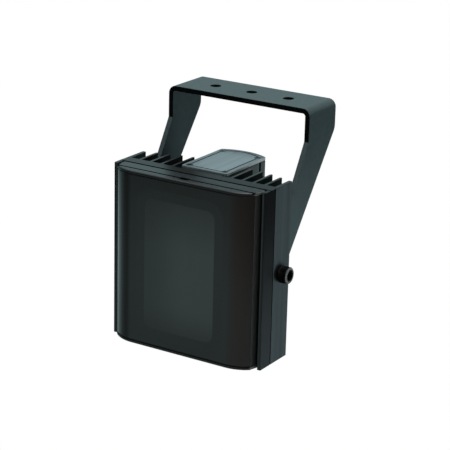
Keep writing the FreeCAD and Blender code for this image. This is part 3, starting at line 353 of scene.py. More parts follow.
@dataclass(frozen=True)
class Finish:
    """A plain finish: one colour with a little mottling, a grain and a fine relief.

    Attributes:
        name: The material's name.
        colour: Colour as it looks, 0 to 255.
        roughness: Middle of the roughness.
        metallic: 1 for bare metal.
        mottle: How much the colour varies, as a share.
        grain: Grains to the metre.
        stretch: Factor on the grain along each axis.
        relief: Depth of the relief in metres.
        specular: Specular level.
        spread: How far the roughness goes to either side.
        patch: Size of the mottling, in grains.
        layers: Colours that are laid over it in turn, each with its zone. Some are painted light and shade.
        grooves: Zones of painted shade in grooves, recesses and on cut edges, where it is darkened and doesn't mirror.
        shade_colour: Colour of the painted shade.
    """

    name: str
    colour: Colour
    roughness: float = 0.5
    metallic: float = 0.0
    mottle: float = 0.06
    grain: float = 1500.0
    stretch: Size = (1.0, 1.0, 1.0)
    relief: float = 0.00002
    specular: float = 0.5
    spread: float = 0.06
    patch: float = 12.0
    layers: tuple[tuple[Colour, Zone], ...] = ()
    grooves: tuple[Zone, ...] = ()
    shade_colour: Colour = (10, 11, 11)

    def ground(self, shader: Shader) -> Socket:
        """The colour under the layers, between a darker and a lighter tone of itself."""
        factor = shader.noise(self.grain / self.patch, self.stretch, detail=4.0)
        return shader.blend(factor, lighter(self.colour, 1 - self.mottle), lighter(self.colour, 1 + self.mottle))

    def paint(self, shader: Shader) -> Socket:
        """Lay the layers over the ground.

        Args:
            shader: The material's shader.

        Returns:
            The colour output.
        """
        colour = self.ground(shader)
        for tone, zone in self.layers:
            colour = shader.blend(zone_mask(shader, zone), colour, tone)
        return colour

    def painted_shade(self, shader: Shader) -> Socket | None:
        """Where shade is painted.

        Args:
            shader: The material's shader.

        Returns:
            1 in the grooves and 0 elsewhere, or nothing where the finish has none.
        """
        joined = None
        for zone in self.grooves:
            mask = zone_mask(shader, zone)
            joined = mask if joined is None else shader.math("MAXIMUM", joined, mask)
        return joined

    def sheen(self, shader: Shader, painted_shade: Socket | None) -> Value:
        """How strongly the surface mirrors: the same everywhere, but not at all where shade is painted."""
        return self.specular if painted_shade is None else shader.range(painted_shade, self.specular, 0.0)

    @lru_cache(maxsize=None)
    def make(self) -> bpy.types.Material:
        """Build the material once, and give the same one again when asked twice.

        Returns:
            The material.
        """
        shader = Shader(self.name + "_finish")
        painted_shade = self.painted_shade(shader)
        colour = self.paint(shader)
        # Painted shade darkens the grooves, recesses and cut edges that the finish lists.
        shader.give("Base Color", colour if painted_shade is None else shader.blend(painted_shade, colour, self.shade_colour))
        shader.give("Metallic", self.metallic)
        shader.give("Specular IOR Level", self.sheen(shader, painted_shade))
        grain = shader.noise(self.grain, self.stretch)
        shader.give("Roughness", shader.range(grain, self.roughness - self.spread, self.roughness + self.spread))
        shader.bump(grain, strength=0.5, depth=self.relief)
        return shader.material


@dataclass(frozen=True)
class PowderCoat(Finish):
    """Powder-coated steel with thin scuffs that are a little paler.

    Attributes:
        scuff: Colour of the scuffs.
        scuff_share: How strongly they show.
        scuff_width: Their width, in grains.
        scuff_patch: Size of the patches that they lie in, in grains.
    """

    scuff: Colour = (120, 136, 138)
    scuff_share: float = 0.35
    scuff_width: float = 5.0
    scuff_patch: float = 60.0

    def ground(self, shader: Shader) -> Socket:
        """The plain colour, with scuffs where a drawn-out noise and a coarse one are both high.

        Args:
            shader: The material's shader.

        Returns:
            The colour output.
        """
        drawn_out = shader.noise(self.grain / self.scuff_width, (1.0, 1.0, 0.06), detail=2.0)
        lines = shader.step(drawn_out, edge=0.7, softness=0.08)
        patches = shader.step(shader.noise(self.grain / self.scuff_patch, detail=2.0), edge=0.56, softness=0.12)
        return shader.blend(shader.product(lines, patches, self.scuff_share), super().ground(shader), self.scuff)


@dataclass(frozen=True)
class PlateFinish(Finish):
    """Brushed end plate: an inner panel made paler towards the right by painted light, a slightly darker rim,
    and painted shade in the groove between them.

    Attributes:
        half_width: Half of the plate's width.
        front: Y of its front edge.
        rear: Y of its rear corners.
        bow: How far the rear edge bows out at its middle.
        inset: Distance of the groove's outer side from the plate's outline.
        groove: The groove's width.
        rim: Colour of the rim as a share of the panel's.
        face: Distance of both plates' outer faces from the head's middle.
        painted_light_shares: Painted light on the panel: its tone at its left and its right side, as shares of its
            colour.
    """

    half_width: float = 20.4 * MM
    front: float = -66.7 * MM
    rear: float = -9.7 * MM
    bow: float = 5.5 * MM
    inset: float = 3.3 * MM
    groove: float = 1.3 * MM
    rim: float = 0.9
    face: float = 70.5 * MM
    painted_light_shares: tuple[float, float] = (0.94, 1.09)

    def inwards(self, shader: Shader) -> Socket:
        """How far inside the plate's outline a point lies.

        The least of three distances: to the sides, to the front edge, and to the rear edge, whose bow falls away
        with the square of the distance from the middle.

        Args:
            shader: The material's shader.

        Returns:
            That distance in metres.
        """
        side = shader.math("SUBTRACT", self.half_width, shader.away(Axis.X))
        front = shader.math("SUBTRACT", shader.along(Axis.Y), self.front)
        across = shader.math("DIVIDE", shader.along(Axis.X), self.half_width)
        edge = shader.math("SUBTRACT", self.rear + self.bow, shader.product(across, across, self.bow))
        rear = shader.math("SUBTRACT", edge, shader.along(Axis.Y))
        return shader.math("MINIMUM", shader.math("MINIMUM", side, front), rear)

    def painted_shade(self, shader: Shader) -> Socket | None:
        """Painted shade in the ring groove, which lies below the plate's face.

        Args:
            shader: The material's shader.

        Returns:
            1 in the groove and 0 elsewhere.
        """
        inwards = self.inwards(shader)
        return shader.product(shader.step(inwards, self.inset - CRISP, CRISP),
                              shader.step(inwards, self.inset + self.groove, -CRISP),
                              Limit(Axis.Z, self.face - CRISP / 2, -0.6 * CRISP, MIDDLE_Z).mask(shader))

    def ground(self, shader: Shader) -> Socket:
        """The panel's brushed colour, made paler towards the right by painted light, and the rim's.

        Args:
            shader: The material's shader.

        Returns:
            The colour output.
        """
        across = shader.step(shader.along(Axis.X), 0.0, 2 * self.half_width)
        panel = shader.dim(super().ground(shader), shader.range(across, *self.painted_light_shares))
        inside = shader.step(self.inwards(shader), self.inset, CRISP)
        return shader.blend(inside, lighter(self.colour, self.rim), panel)


@dataclass(frozen=True)
class WindowFinish(Finish):
    """Polished dark filter plastic with a paler frosted rectangle in its middle, and a faint frame round that.

    Attributes:
        frosted: Colour of the rectangle.
        faint: Colour of the frame round it.
        middle_z: Height of the rectangle's middle.
        width: The rectangle's width.
        height: The rectangle's height.
        corner: Radius of its corners.
        border: Width of the frame.
        softness: How soft the rectangle's edge is, and the frame's outer one.
        fades: Limits short of which the rectangle fades, and the share of it that is left there.
        gloss: How much more the rectangle mirrors.
    """

    frosted: Colour = (49, 61, 60)
    faint: Colour = (30, 35, 35)
    middle_z: float = -118.6 * MM
    width: float = 62.4 * MM
    height: float = 103.8 * MM
    corner: float = 7.0 * MM
    border: float = 7.6 * MM
    softness: tuple[float, float] = (1.2 * MM, 2.0 * MM)
    fades: tuple[tuple[Limit, float], ...] = (
        (Limit(Axis.X, -12.0 * MM, 36.0 * MM), 0.4), (Limit(Axis.Z, -82.0 * MM, -44.0 * MM), 0.4),
        (Limit(Axis.Z, -160.0 * MM, 28.0 * MM), 0.3))
    gloss: float = 0.35

    def outside(self, shader: Shader) -> Socket:
        """How far a point lies outside the rectangle.

        The length of the part of its distances from the middle that reaches beyond the corner circle's middle,
        less the corner's radius.

        Args:
            shader: The material's shader.

        Returns:
            That distance in metres.
        """
        over_x = shader.math("SUBTRACT", shader.away(Axis.X), self.width / 2 - self.corner)
        over_z = shader.math("SUBTRACT", shader.away(Axis.Z, self.middle_z), self.height / 2 - self.corner)
        length = shader.reach(shader.math("MAXIMUM", over_x, 0.0), shader.math("MAXIMUM", over_z, 0.0))
        return shader.math("SUBTRACT", length, self.corner)

    def inside(self, shader: Shader) -> Socket:
        """1 inside the rectangle, less towards its left and both its ends, and 0 outside."""
        faded = [shader.range(limit.mask(shader), least, 1.0) for limit, least in self.fades]
        return shader.product(shader.step(self.outside(shader), 0.0, -self.softness[0]), *faded)

    def sheen(self, shader: Shader, painted_shade: Socket | None) -> Socket:
        """A little stronger inside the rectangle, where the frosted plate lies behind."""
        return shader.range(self.inside(shader), self.specular, self.specular + self.gloss)

    def paint(self, shader: Shader) -> Socket:
        """The plain window with the faint frame and the frosted rectangle over it."""
        outside = shader.step(self.outside(shader), self.border, self.softness[1])
        return shader.blend(self.inside(shader), shader.blend(outside, self.faint, super().paint(shader)), self.frosted)


def mesh_piece(name: str, points: np.ndarray, faces: Sequence[Sequence[int]]) -> bpy.types.Object:
    """Make an object at the origin from points in metres.

    Args:
        name: The piece's name.
        points: One row of x, y and z for each point.
        faces: Point numbers of each face.

    Returns:
        The new object.
    """
    mesh = bpy.data.meshes.new(name)
    mesh.from_pydata(np.asarray(points).tolist(), [], [list(map(int, face)) for face in faces])
    mesh.update()
    piece = bpy.data.objects.new(name, mesh)
    bpy.context.scene.collection.objects.link(piece)
    return piece


def grid_faces(rows: int, columns: int, close_rows: bool = False, close_columns: bool = False) -> np.ndarray:
    """Quads of a grid of points that is stored row by row.

    Args:
        rows: Number of rows of points.
        columns: Number of points in a row.
        close_rows: Whether the last row joins the first.
        close_columns: Whether the last point of a row joins its first.

    Returns:
        Four point numbers for each quad.
    """
    row = np.arange(rows if close_rows else rows - 1)
    column = np.arange(columns if close_columns else columns - 1)
    low_row, low_column = np.meshgrid(row, column, indexing="ij")
    high_row = (low_row + 1) % rows
    high_column = (low_column + 1) % columns
    quads = np.stack([low_row * columns + low_column, low_row * columns + high_column,
                      high_row * columns + high_column, high_row * columns + low_column], axis=-1)
    return quads.reshape(-1, 4)


def close_skin(piece: bpy.types.Object) -> None:
    """Join points that lie on each other, such as a pole's, and turn every face outwards.

    Args:
        piece: The piece.
    """
    work = bmesh.new()
    work.from_mesh(piece.data)
    bmesh.ops.remove_doubles(work, verts=work.verts, dist=SAME_POINT)
    bmesh.ops.recalc_face_normals(work, faces=work.faces)
    work.to_mesh(piece.data)
    work.free()


def smooth(piece: bpy.types.Object, sharp: float = 180.0) -> None:
    """Shade a piece smooth, except across its sharp edges.

    Args:
        piece: The piece.
        sharp: Angle in degrees above which an edge is sharp.
    """
    piece.data.polygons.foreach_set("use_smooth", np.ones(len(piece.data.polygons), dtype=bool))
    if sharp < 180.0:
        piece.data.set_sharp_from_angle(angle=math.radians(sharp))


def soften_edges(piece: bpy.types.Object, radius: float, segments: int = 2, angle: float = 35.0) -> None:
    """Round a piece's sharp edges and keep its flat faces flat in the shading.

    Args:
        piece: The piece.
        radius: Edge radius in metres.
        segments: Facets across the rounded edge.
        angle: Angle in degrees above which an edge is sharp.
    """
    smooth(piece)
    rounding = piece.modifiers.new("edges", "BEVEL")
    rounding.width = radius
    rounding.segments = segments
    rounding.limit_method = "ANGLE"
    rounding.angle_limit = math.radians(angle)
    rounding.miter_outer = "MITER_ARC"
    piece.modifiers.new("normals", "WEIGHTED_NORMAL").weight = 100


def dress(piece: bpy.types.Object, node: str, finish: Finish, body: Body) -> None:
    """Give a new piece its finish, its body and its material slot, and let it stand for a node.

    Args:
        piece: The piece.
        node: The node.
        finish: Its finish.
        body: The body it rides on.
    """
    piece.data.materials.clear()
    piece.data.materials.append(finish.make())
    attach(piece, body.value)
    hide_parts(node)
    LOG.info("%s: %d faces, rides on %s", piece.name, len(piece.data.polygons), body.value)


def paint_nodes(finish: Finish, *nodes: str) -> None:
    """Give nodes of the frame a finish.

    Args:
        finish: The finish.
        *nodes: Their names.
    """
    for node in nodes:
        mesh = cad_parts[node].data
        mesh.materials.clear()
        mesh.materials.append(finish.make())
        LOG.info("%s: finish %s", node, finish.name)


def merged_copy(node: str, flat: float = 0.4) -> bpy.types.Object:
    """Copy a node of the frame with its loose triangles joined into one skin.

    Points that lie within a micrometre of each other become one, and triangles that lie in one plane become one
    face, so that the edges can be rounded.

    Args:
        node: The node's name.
        flat: Angle in degrees up to which neighbouring faces lie in one plane.

    Returns:
        The copy.
    """
    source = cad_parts[node].data
    points = np.empty(len(source.vertices) * 3)
    source.vertices.foreach_get("co", points)
    points = points.reshape(-1, 3)
    corners = np.empty(len(source.loops), dtype=np.int64)
    source.loops.foreach_get("vertex_index", corners)
    cells = np.round(points / SAME_POINT).astype(np.int64)
    _, first, joined = np.unique(cells, axis=0, return_index=True, return_inverse=True)
    faces = joined.reshape(-1)[corners].reshape(-1, 3)
    whole = (faces[:, 0] != faces[:, 1]) & (faces[:, 1] != faces[:, 2]) & (faces[:, 2] != faces[:, 0])
    piece = mesh_piece(node + "_skin", points[first], faces[whole])
    work = bmesh.new()
    work.from_mesh(piece.data)
    bmesh.ops.dissolve_limit(work, angle_limit=math.radians(flat), verts=work.verts, edges=work.edges)
    work.to_mesh(piece.data)
    work.free()
    return piece


def rounded_copies(radius: float, finish: Finish, body: Body, slot: str, *nodes: str) -> None:
    """Make copies of nodes with softened edges, which stand for the nodes.

    Args:
        radius: Edge radius in metres.
        finish: Their finish.
        body: The body they ride on.
        slot: The record's material slot. Not used.
        *nodes: The nodes that they stand for.
    """
    for node in nodes:
        piece = merged_copy(node)
        soften_edges(piece, radius)
        dress(piece, node, finish, body)


def once_round(columns: int) -> np.ndarray:
    """Angles once round."""
    return np.linspace(0.0, TURN, columns, endpoint=False)


def carried_round(stations: Stations, columns: int) -> tuple[np.ndarray, np.ndarray, np.ndarray]:
    """Carry a profile once round its axis.

    Each station becomes a ring, whose points lie off the axis by its radius times the cosine and the sine of the
    angle.

    Args:
        stations: The profile.
        columns: Points once round.

    Returns:
        Distance along the axis and both distances across it, each rings by columns.
    """
    turn = once_round(columns)
    along = np.array([place for place, _ in stations])[:, None] + 0 * turn
    radius = np.stack([np.broadcast_to(reach, turn.shape) for _, reach in stations])
    return along, radius * np.cos(turn), radius * np.sin(turn)


def rounded_rectangle(half_width: float, half_height: float, corner: float, steps: int = 5) -> np.ndarray:
    """Outline of a rectangle with rounded corners, once round.

    Each corner is a quarter circle: its middle lies a radius inside both sides, and its points follow the
    cosine and the sine of the angle.

    Args:
        half_width: Half of its width.
        half_height: Half of its height.
        corner: Radius of the corners.
        steps: Points on each corner.

    Returns:
        One row of two coordinates for each point.
    """
    angle = (np.linspace(0.0, TURN / 4, steps)[None, :] + np.arange(4)[:, None] * TURN / 4).ravel()
    side = np.repeat(np.array([(1, 1), (-1, 1), (-1, -1), (1, -1)], dtype=float), steps, axis=0)
    middle = side * np.array([half_width - corner, half_height - corner])
    return middle + corner * np.stack([np.cos(angle), np.sin(angle)], axis=-1)


def hexagon_radius(turn: np.ndarray, across_flats: float, corner_at: float = 0.0) -> np.ndarray:
    """Distance from a hexagon's middle to its outline: half its width over the cosine of the angle from a flat.

    Args:
        turn: Angles in radians.
        across_flats: The hexagon's width between two flats.
        corner_at: Angle of one of its corners.

    Returns:
        One distance for each angle.
    """
    sixth = TURN / 6
    # The hair that is added keeps rounding from putting a corner's angle just short of it.
    from_flat = np.mod(turn - corner_at + 1e-9, sixth) - sixth / 2
    return across_flats / 2 / np.cos(from_flat)


# Bracket: painted shade, dull and dark, on the strip's front cut edge and in its three holes, and painted light that
# makes the arms paler lower down.
CUT_EDGE: Zone = (Limit(Axis.Y, -20.2 * MM, -CRISP), Limit(Axis.Z, -25.4 * MM, 3 * CRISP))
HOLE_WALLS: tuple[Zone, ...] = tuple(
    (RoundLimit((Axis.X, Axis.Y), (place, 0.0), 4.35 * MM, -CRISP), Limit(Axis.Z, -0.1 * MM, -CRISP))
    for place in (-33.0 * MM, 0.0, 33.0 * MM))
BRACKET_COAT = PowderCoat("bracket_coat", (58, 73, 75), roughness=0.42, grain=2600.0, mottle=0.14, shade_colour=(22, 24, 24),
                          layers=(((76, 94, 97), (Limit(Axis.Z, -61.0 * MM, -110.0 * MM),)),),
                          grooves=(CUT_EDGE, *HOLE_WALLS))

# Heat sink: painted reflection and shade of the screw's head beside it, a darker band along the walls' front with
# painted reflection that darkens it upwards, painted shade on the fins that lifts towards their tips, painted shade
# in two grooves, and sawn ends that are darker on the base plate than on the fins.
HEAD_HEIGHT = 139.0 * MM
WALL = Limit(Axis.X, 66.0 * MM, 0.2 * MM, 0.0)
SCREW_REFLECTION: Zone = (RoundLimit((Axis.Y, Axis.Z), (-65.8 * MM, -115.3 * MM), 6.4 * MM, -3.0 * MM), WALL)
BAND: Zone = (Limit(Axis.Y, -73.7 * MM, -0.2 * MM), WALL)
FINS_FRONT = -69.4 * MM
FINS_DEPTH = 27.0 * MM
FINS: Zone = (Limit(Axis.X, 64.0 * MM, -0.3 * MM, 0.0), Limit(Axis.Y, FINS_FRONT, 0.6 * MM))
SAWN_END = Limit(Axis.Z, HEAD_HEIGHT / 2 - 0.2 * MM, CRISP, MIDDLE_Z)
HEAD_COAT = Finish("head_coat", (64, 76, 79), roughness=0.36, grain=900.0, stretch=(1.0, 1.0, 0.02), mottle=0.32,
                   patch=4.0, relief=0.000008, specular=0.3,
                   layers=(((25, 25, 27), SCREW_REFLECTION), ((52, 60, 62), BAND),
                           ((10, 11, 11), (*BAND, Limit(Axis.Z, MIDDLE_Z, HEAD_HEIGHT))),
                           ((14, 15, 15), FINS),
                           ((24, 26, 27), (*FINS, Limit(Axis.Y, FINS_FRONT + FINS_DEPTH / 2, FINS_DEPTH))),
                           ((16, 19, 19), (SAWN_END,)),
                           ((38, 44, 44), (SAWN_END, Limit(Axis.Y, FINS_FRONT, 1.0 * MM)))),
                   grooves=(groove(Axis.Y, -73.7 * MM, 1.0 * MM, Axis.X, 0.0, 66.9 * MM),
                            groove(Axis.Y, -79.7 * MM, 1.3 * MM, Axis.Z, MIDDLE_Z, 69.0 * MM)))
RAIL_COAT = Finish("rail_coat", (50, 52, 51), roughness=0.4, grain=900.0, stretch=(1.0, 1.0, 0.02), relief=0.000012)

# End caps: a painted highlight on the lid's side at its corners, and painted shade in the pry slot, the lid's groove
# and the joint.
LID_CORNER_HIGHLIGHT: Zone = (Limit(Axis.Z, 69.3 * MM, -CRISP, MIDDLE_Z), Limit(Axis.X, 61.0 * MM, 1.5 * MM, 0.0))
PRY_SLOT: Zone = (Limit(Axis.X, 4.0 * MM, -0.4 * MM, 0.0), Limit(Axis.Y, 2.3 * MM, -0.4 * MM, -92.6 * MM))
CAP_GREY = Finish("cap_grey", (24, 28.5, 30), roughness=0.34, grain=2200.0, mottle=0.04, relief=0.00001,
                  layers=(((104, 113, 113), LID_CORNER_HIGHLIGHT),),
                  grooves=(groove(Axis.Y, -92.2 * MM, 2.0 * MM, Axis.Z, MIDDLE_Z, 68.6 * MM),
                           groove(Axis.Y, -80.9 * MM, 1.1 * MM, Axis.Z, MIDDLE_Z, 60.0 * MM), PRY_SLOT))

# Box: painted shade in a groove along both sides of the case, and a painted highlight on the plates' sides.
BOX_SILVER = Finish("box_silver", (98, 111, 112), roughness=0.4, grain=1400.0, stretch=(1.0, 1.0, 0.03), mottle=0.04,
                    relief=0.000006, grooves=(groove(Axis.Y, -18.2 * MM, 2.6 * MM, Axis.X, 0.0, 19.0 * MM),))
PLATE_SIDE_HIGHLIGHT = Limit(Axis.X, PlateFinish.half_width - 0.2 * MM, CRISP, 0.0)
PLATE_SILVER = PlateFinish("plate_silver", (148, 169, 175), roughness=0.4, grain=1400.0, stretch=(1.0, 0.03, 1.0),
                           mottle=0.13, patch=5.0, relief=0.000006,
                           layers=(((212, 228, 231), (PLATE_SIDE_HIGHLIGHT,)),))

# Window: painted reflection that makes it paler low on its right side and darker towards its upper end.
LOW_RIGHT: Zone = (Limit(Axis.X, 36.0 * MM, 40.0 * MM), Limit(Axis.Z, WindowFinish.middle_z, -WindowFinish.height))
UPPER_END: Zone = (Limit(Axis.Z, WindowFinish.middle_z + WindowFinish.height / 4, WindowFinish.height),)
WINDOW_DARK = WindowFinish("window_dark", (26, 28, 28), roughness=0.22, grain=60.0, mottle=0.04, relief=0.0,
                           spread=0.02, layers=(((39, 46, 47), LOW_RIGHT), ((15, 13, 12), UPPER_END)))

# Screws: black, with a painted highlight on the face round the socket.
SCREW_FACE_HIGHLIGHT: Zone = (Limit(Axis.X, 74.7 * MM, 0.2 * MM, 0.0),
                     RoundLimit((Axis.Y, Axis.Z), (TILT_Y, MIDDLE_Z), 4.6 * MM, 0.3 * MM))
BLACK_OXIDE = Finish("black_oxide", (9, 9, 11), roughness=0.34, grain=5000.0, relief=0.000005, specular=0.2,
                     layers=(((120, 124, 124), SCREW_FACE_HIGHLIGHT),))

RUBBER = Finish("black_rubber", (22, 23, 24), roughness=0.8, grain=3000.0)
STEEL = Finish("zinc_steel", (150, 153, 155), roughness=0.35, metallic=1.0, grain=4000.0)
DARK_STEEL = Finish("dark_steel", (70, 74, 76), roughness=0.4, metallic=0.8, grain=4000.0)
NYLON = Finish("black_nylon", (26, 27, 28), roughness=0.55, grain=2500.0)
BOARD = Finish("board_mask", (225, 226, 224), roughness=0.45)
RESIN = Finish("emitter_resin", (190, 185, 140), roughness=0.12)
FRAME_BLACK = Finish("frame_moulding", (20, 21, 22), roughness=0.6)
FROST = Finish("frosted_plate", (170, 186, 184), roughness=0.7, grain=2500.0)
PAD = Finish("thermal_sheet", (120, 124, 130), roughness=0.85)
GREEN = Finish("driver_mask", (20, 80, 45), roughness=0.4)
SLEEVE = Finish("can_sleeve", (24, 26, 40), roughness=0.3)
COPPER = Finish("copper_wire", (190, 110, 70), roughness=0.35, metallic=1.0, stretch=(1.0, 4.0, 4.0))
TERMINAL = Finish("terminal_moulding", (40, 120, 70), roughness=0.45)


@dataclass
class PivotScrews:
    """Socket cap screws on the tilt axis, one for each side wall, with straight-knurled heads.

    Attributes:
        wall_x: Outside of the side wall, where a head's underside sits.
        head_radius: Radius of the head.
        head_height: Height of the head.
        chamfer: Chamfer of its outer edge.
        shank_radius: Radius of the shank.
        shank_length: From the head's underside to the shank's end.
        socket_flats: Width of the hexagon socket between flats.
        socket_depth: Depth of the socket's walls.
        mouth_radius: Radius of the socket's countersunk mouth.
        tooth_count: Teeth of the knurl.
        tooth_depth: Their depth.
        columns: Points once round, a multiple of the teeth and of six.
    """

    wall_x: float = 67.5 * MM
    head_radius: float = 6.5 * MM
    head_height: float = 7.8 * MM
    chamfer: float = 0.8 * MM
    shank_radius: float = 4.0 * MM
    shank_length: float = 7.9 * MM
    socket_flats: float = 6.0 * MM
    socket_depth: float = 4.5 * MM
    mouth_radius: float = 3.75 * MM
    tooth_count: int = 42
    tooth_depth: float = 0.26 * MM
    columns: int = 168

    def profile(self) -> Stations:
        """The screw's profile from the shank's end to the socket's floor.

        The knurl takes a cosine wave off the head's radius, and in the socket the radius is a hexagon's. Breaks of
        a tenth of a millimetre or so soften the edges.

        Returns:
            The stations, outwards from the head's underside.
        """
        turn = once_round(self.columns)
        knurl = self.head_radius - self.tooth_depth * (0.5 - 0.5 * np.cos(turn * self.tooth_count))
        hexagon = hexagon_radius(turn, self.socket_flats, TURN / 4)
        top, radius, shank, end = self.head_height, self.head_radius, self.shank_radius, -self.shank_length
        edge, face, floor = top - self.chamfer, radius - self.chamfer, top - self.socket_depth
        return [(end, 0.0), (end, shank - 0.5 * MM), (end + 0.5 * MM, shank), (0.0, shank), (0.0, radius - 0.35 * MM),
                (0.1 * MM, radius - 0.1 * MM), (0.35 * MM, radius), (0.9 * MM, radius), (1.2 * MM, knurl),
                (edge - 0.8 * MM, knurl), (edge - 0.5 * MM, radius), (edge - 0.1 * MM, radius),
                (edge + 0.08 * MM, radius - 0.08 * MM), (top - 0.1 * MM, face + 0.1 * MM), (top, face - 0.1 * MM),
                (top, self.mouth_radius), (top - 0.35 * MM, hexagon), (floor, hexagon), (floor - 0.9 * MM, 0.0)]

    def build(self) -> None:
        """Make both screws as one piece."""
        along, ahead, up = carried_round(self.profile(), self.columns)
        points = np.concatenate([np.stack([side * (self.wall_x + along), TILT_Y + ahead, MIDDLE_Z + up], axis=-1)
                                 for side in (1.0, -1.0)]).reshape(-1, 3)
        quads = grid_faces(*along.shape, close_columns=True)
        piece = mesh_piece("pivot_screw_pair", points, np.concatenate([quads, quads + along.size]))
        close_skin(piece)
        smooth(piece, sharp=30.0)
        dress(piece, "pivot_screws", BLACK_OXIDE, Body.BRACKET)


@dataclass
class Bracket:
    """Folded steel bracket with its washers and pivot screws.

    Attributes:
        edge_radius: Edge rounding of the cut sheet.
    """

    edge_radius: float = 0.45 * MM

    def build(self) -> None:
        """Make and dress the bracket's pieces."""
        rounded_copies(self.edge_radius, BRACKET_COAT, Body.BRACKET, "bracket_coat", "u_bracket")
        paint_nodes(NYLON, "pivot_washers")
        PivotScrews().build()


@dataclass
class HeatSink:
    """Extruded heat sink.

    Attributes:
        edge_radius: Edge rounding of the sawn and deburred extrusion.
    """

    edge_radius: float = 0.3 * MM

    def build(self) -> None:
        """Make and dress the heat sink."""
        rounded_copies(self.edge_radius, HEAD_COAT, Body.HEAD, "head_coat", "heat_sink")
        paint_nodes(RUBBER, "wire_grommet")


@dataclass
class FrontWindow:
    """Window that is bent round at both sides, with softly rounded edges all the way round.

    Attributes:
        bend_x: Distance of a bend's axis from the middle.
        bend_y: A bend's axis in Y.
        outer_radius: Radius of the outer face round a bend.
        thickness: Thickness of the window.
        first_turn: Angle ahead of +X where the window ends, in degrees.
        half_height: Half of its height.
        edge_radius: Rounding of its edges.
        bend_steps: Stations round a bend.
        flat_steps: Stations along the flat.
    """

    bend_x: float = 43.0083 * MM
    bend_y: float = -71.7 * MM
    outer_radius: float = 27.1 * MM
    thickness: float = 3.0 * MM
    first_turn: float = 48.4
    half_height: float = 66.5 * MM
    edge_radius: float = 0.45 * MM
    bend_steps: int = 25
    flat_steps: int = 13

    def path(self) -> tuple[np.ndarray, np.ndarray]:
        """The line through the window's thickness, seen from above, from its right edge to its left.

        Two quarter-like arcs about the bends' axes with a straight run between them. An arc's points lie at the
        cosine and minus the sine of the angle, and so do its normals.

        Returns:
            Points and outward normals, one row of x and y for each.
        """
        radius = self.outer_radius - self.thickness / 2
        turn = np.radians(np.linspace(self.first_turn, 90.0, self.bend_steps))
        right = np.stack([np.cos(turn), -np.sin(turn)], axis=-1)
        run = np.linspace(self.bend_x, -self.bend_x, self.flat_steps)[1:-1]
        front = np.stack([run, np.full_like(run, self.bend_y - radius)], axis=-1)
        ahead = np.tile([0.0, -1.0], (len(run), 1))
        flip = np.array([-1.0, 1.0])
        right_points = right * radius + np.array([self.bend_x, self.bend_y])
        points = np.concatenate([right_points, front, (right_points * flip)[::-1]])
        return points, np.concatenate([right, ahead, (right * flip)[::-1]])

    def surface(self) -> np.ndarray:
        """Every point of the window.

        A rounded rectangle is carried along the path: its first coordinate goes along the normal and its second
        along Z.

        Returns:
            Stations by outline points by x, y and z.
        """
        points, normals = self.path()
        out, up = rounded_rectangle(self.thickness / 2, self.half_height, self.edge_radius).T[:, None, :]
        across = points[:, None, :] + normals[:, None, :] * out[..., None]
        height = np.broadcast_to(MIDDLE_Z + up, across.shape[:2])
        return np.concatenate([across, height[..., None]], axis=-1)

    def build(self) -> None:
        """Make the window, closed at both ends."""
        grid = self.surface()
        stations, around = grid.shape[:2]
        quads = grid_faces(stations, around, close_columns=True).tolist()
        last = (stations - 1) * around
        ends = [list(range(around)), list(range(last, last + around))]
        piece = mesh_piece("curved_window", grid.reshape(-1, 3), quads + ends)
        close_skin(piece)
        soften_edges(piece, self.edge_radius / 2)
        dress(piece, "front_window", WINDOW_DARK, Body.HEAD)


@dataclass
class FrontCover:
    """Curved window, its rails, the end caps and their seals.

    Attributes:
        rail_edge: Edge rounding of the extruded rails.
        cap_edge: Edge rounding of the moulded caps' grooves and corners.
    """

    rail_edge: float = 0.25 * MM
    cap_edge: float = 0.12 * MM

    def build(self) -> None:
        """Make and dress the cover's pieces."""
        FrontWindow().build()
        rounded_copies(self.rail_edge, RAIL_COAT, Body.HEAD, "head_coat", "window_rail_left", "window_rail_right")
        rounded_copies(self.cap_edge, CAP_GREY, Body.HEAD, "cap_grey", "top_cap", "bottom_cap")
        paint_nodes(RUBBER, "top_cap_seal", "bottom_cap_seal", "window_side_seals")
        paint_nodes(STEEL, "rail_screws")


@dataclass
class LightEngine:
    """Board, emitters, frame and frosted plate behind the window."""

    def build(self) -> None:
        """Dress the light engine's pieces."""
        for node, finish in (("led_board", BOARD), ("led_emitters", RESIN), ("light_frame", FRAME_BLACK),
                             ("diffuser_plate", FROST), ("thermal_pad", PAD), ("light_engine_screws", STEEL)):
            paint_nodes(finish, node)


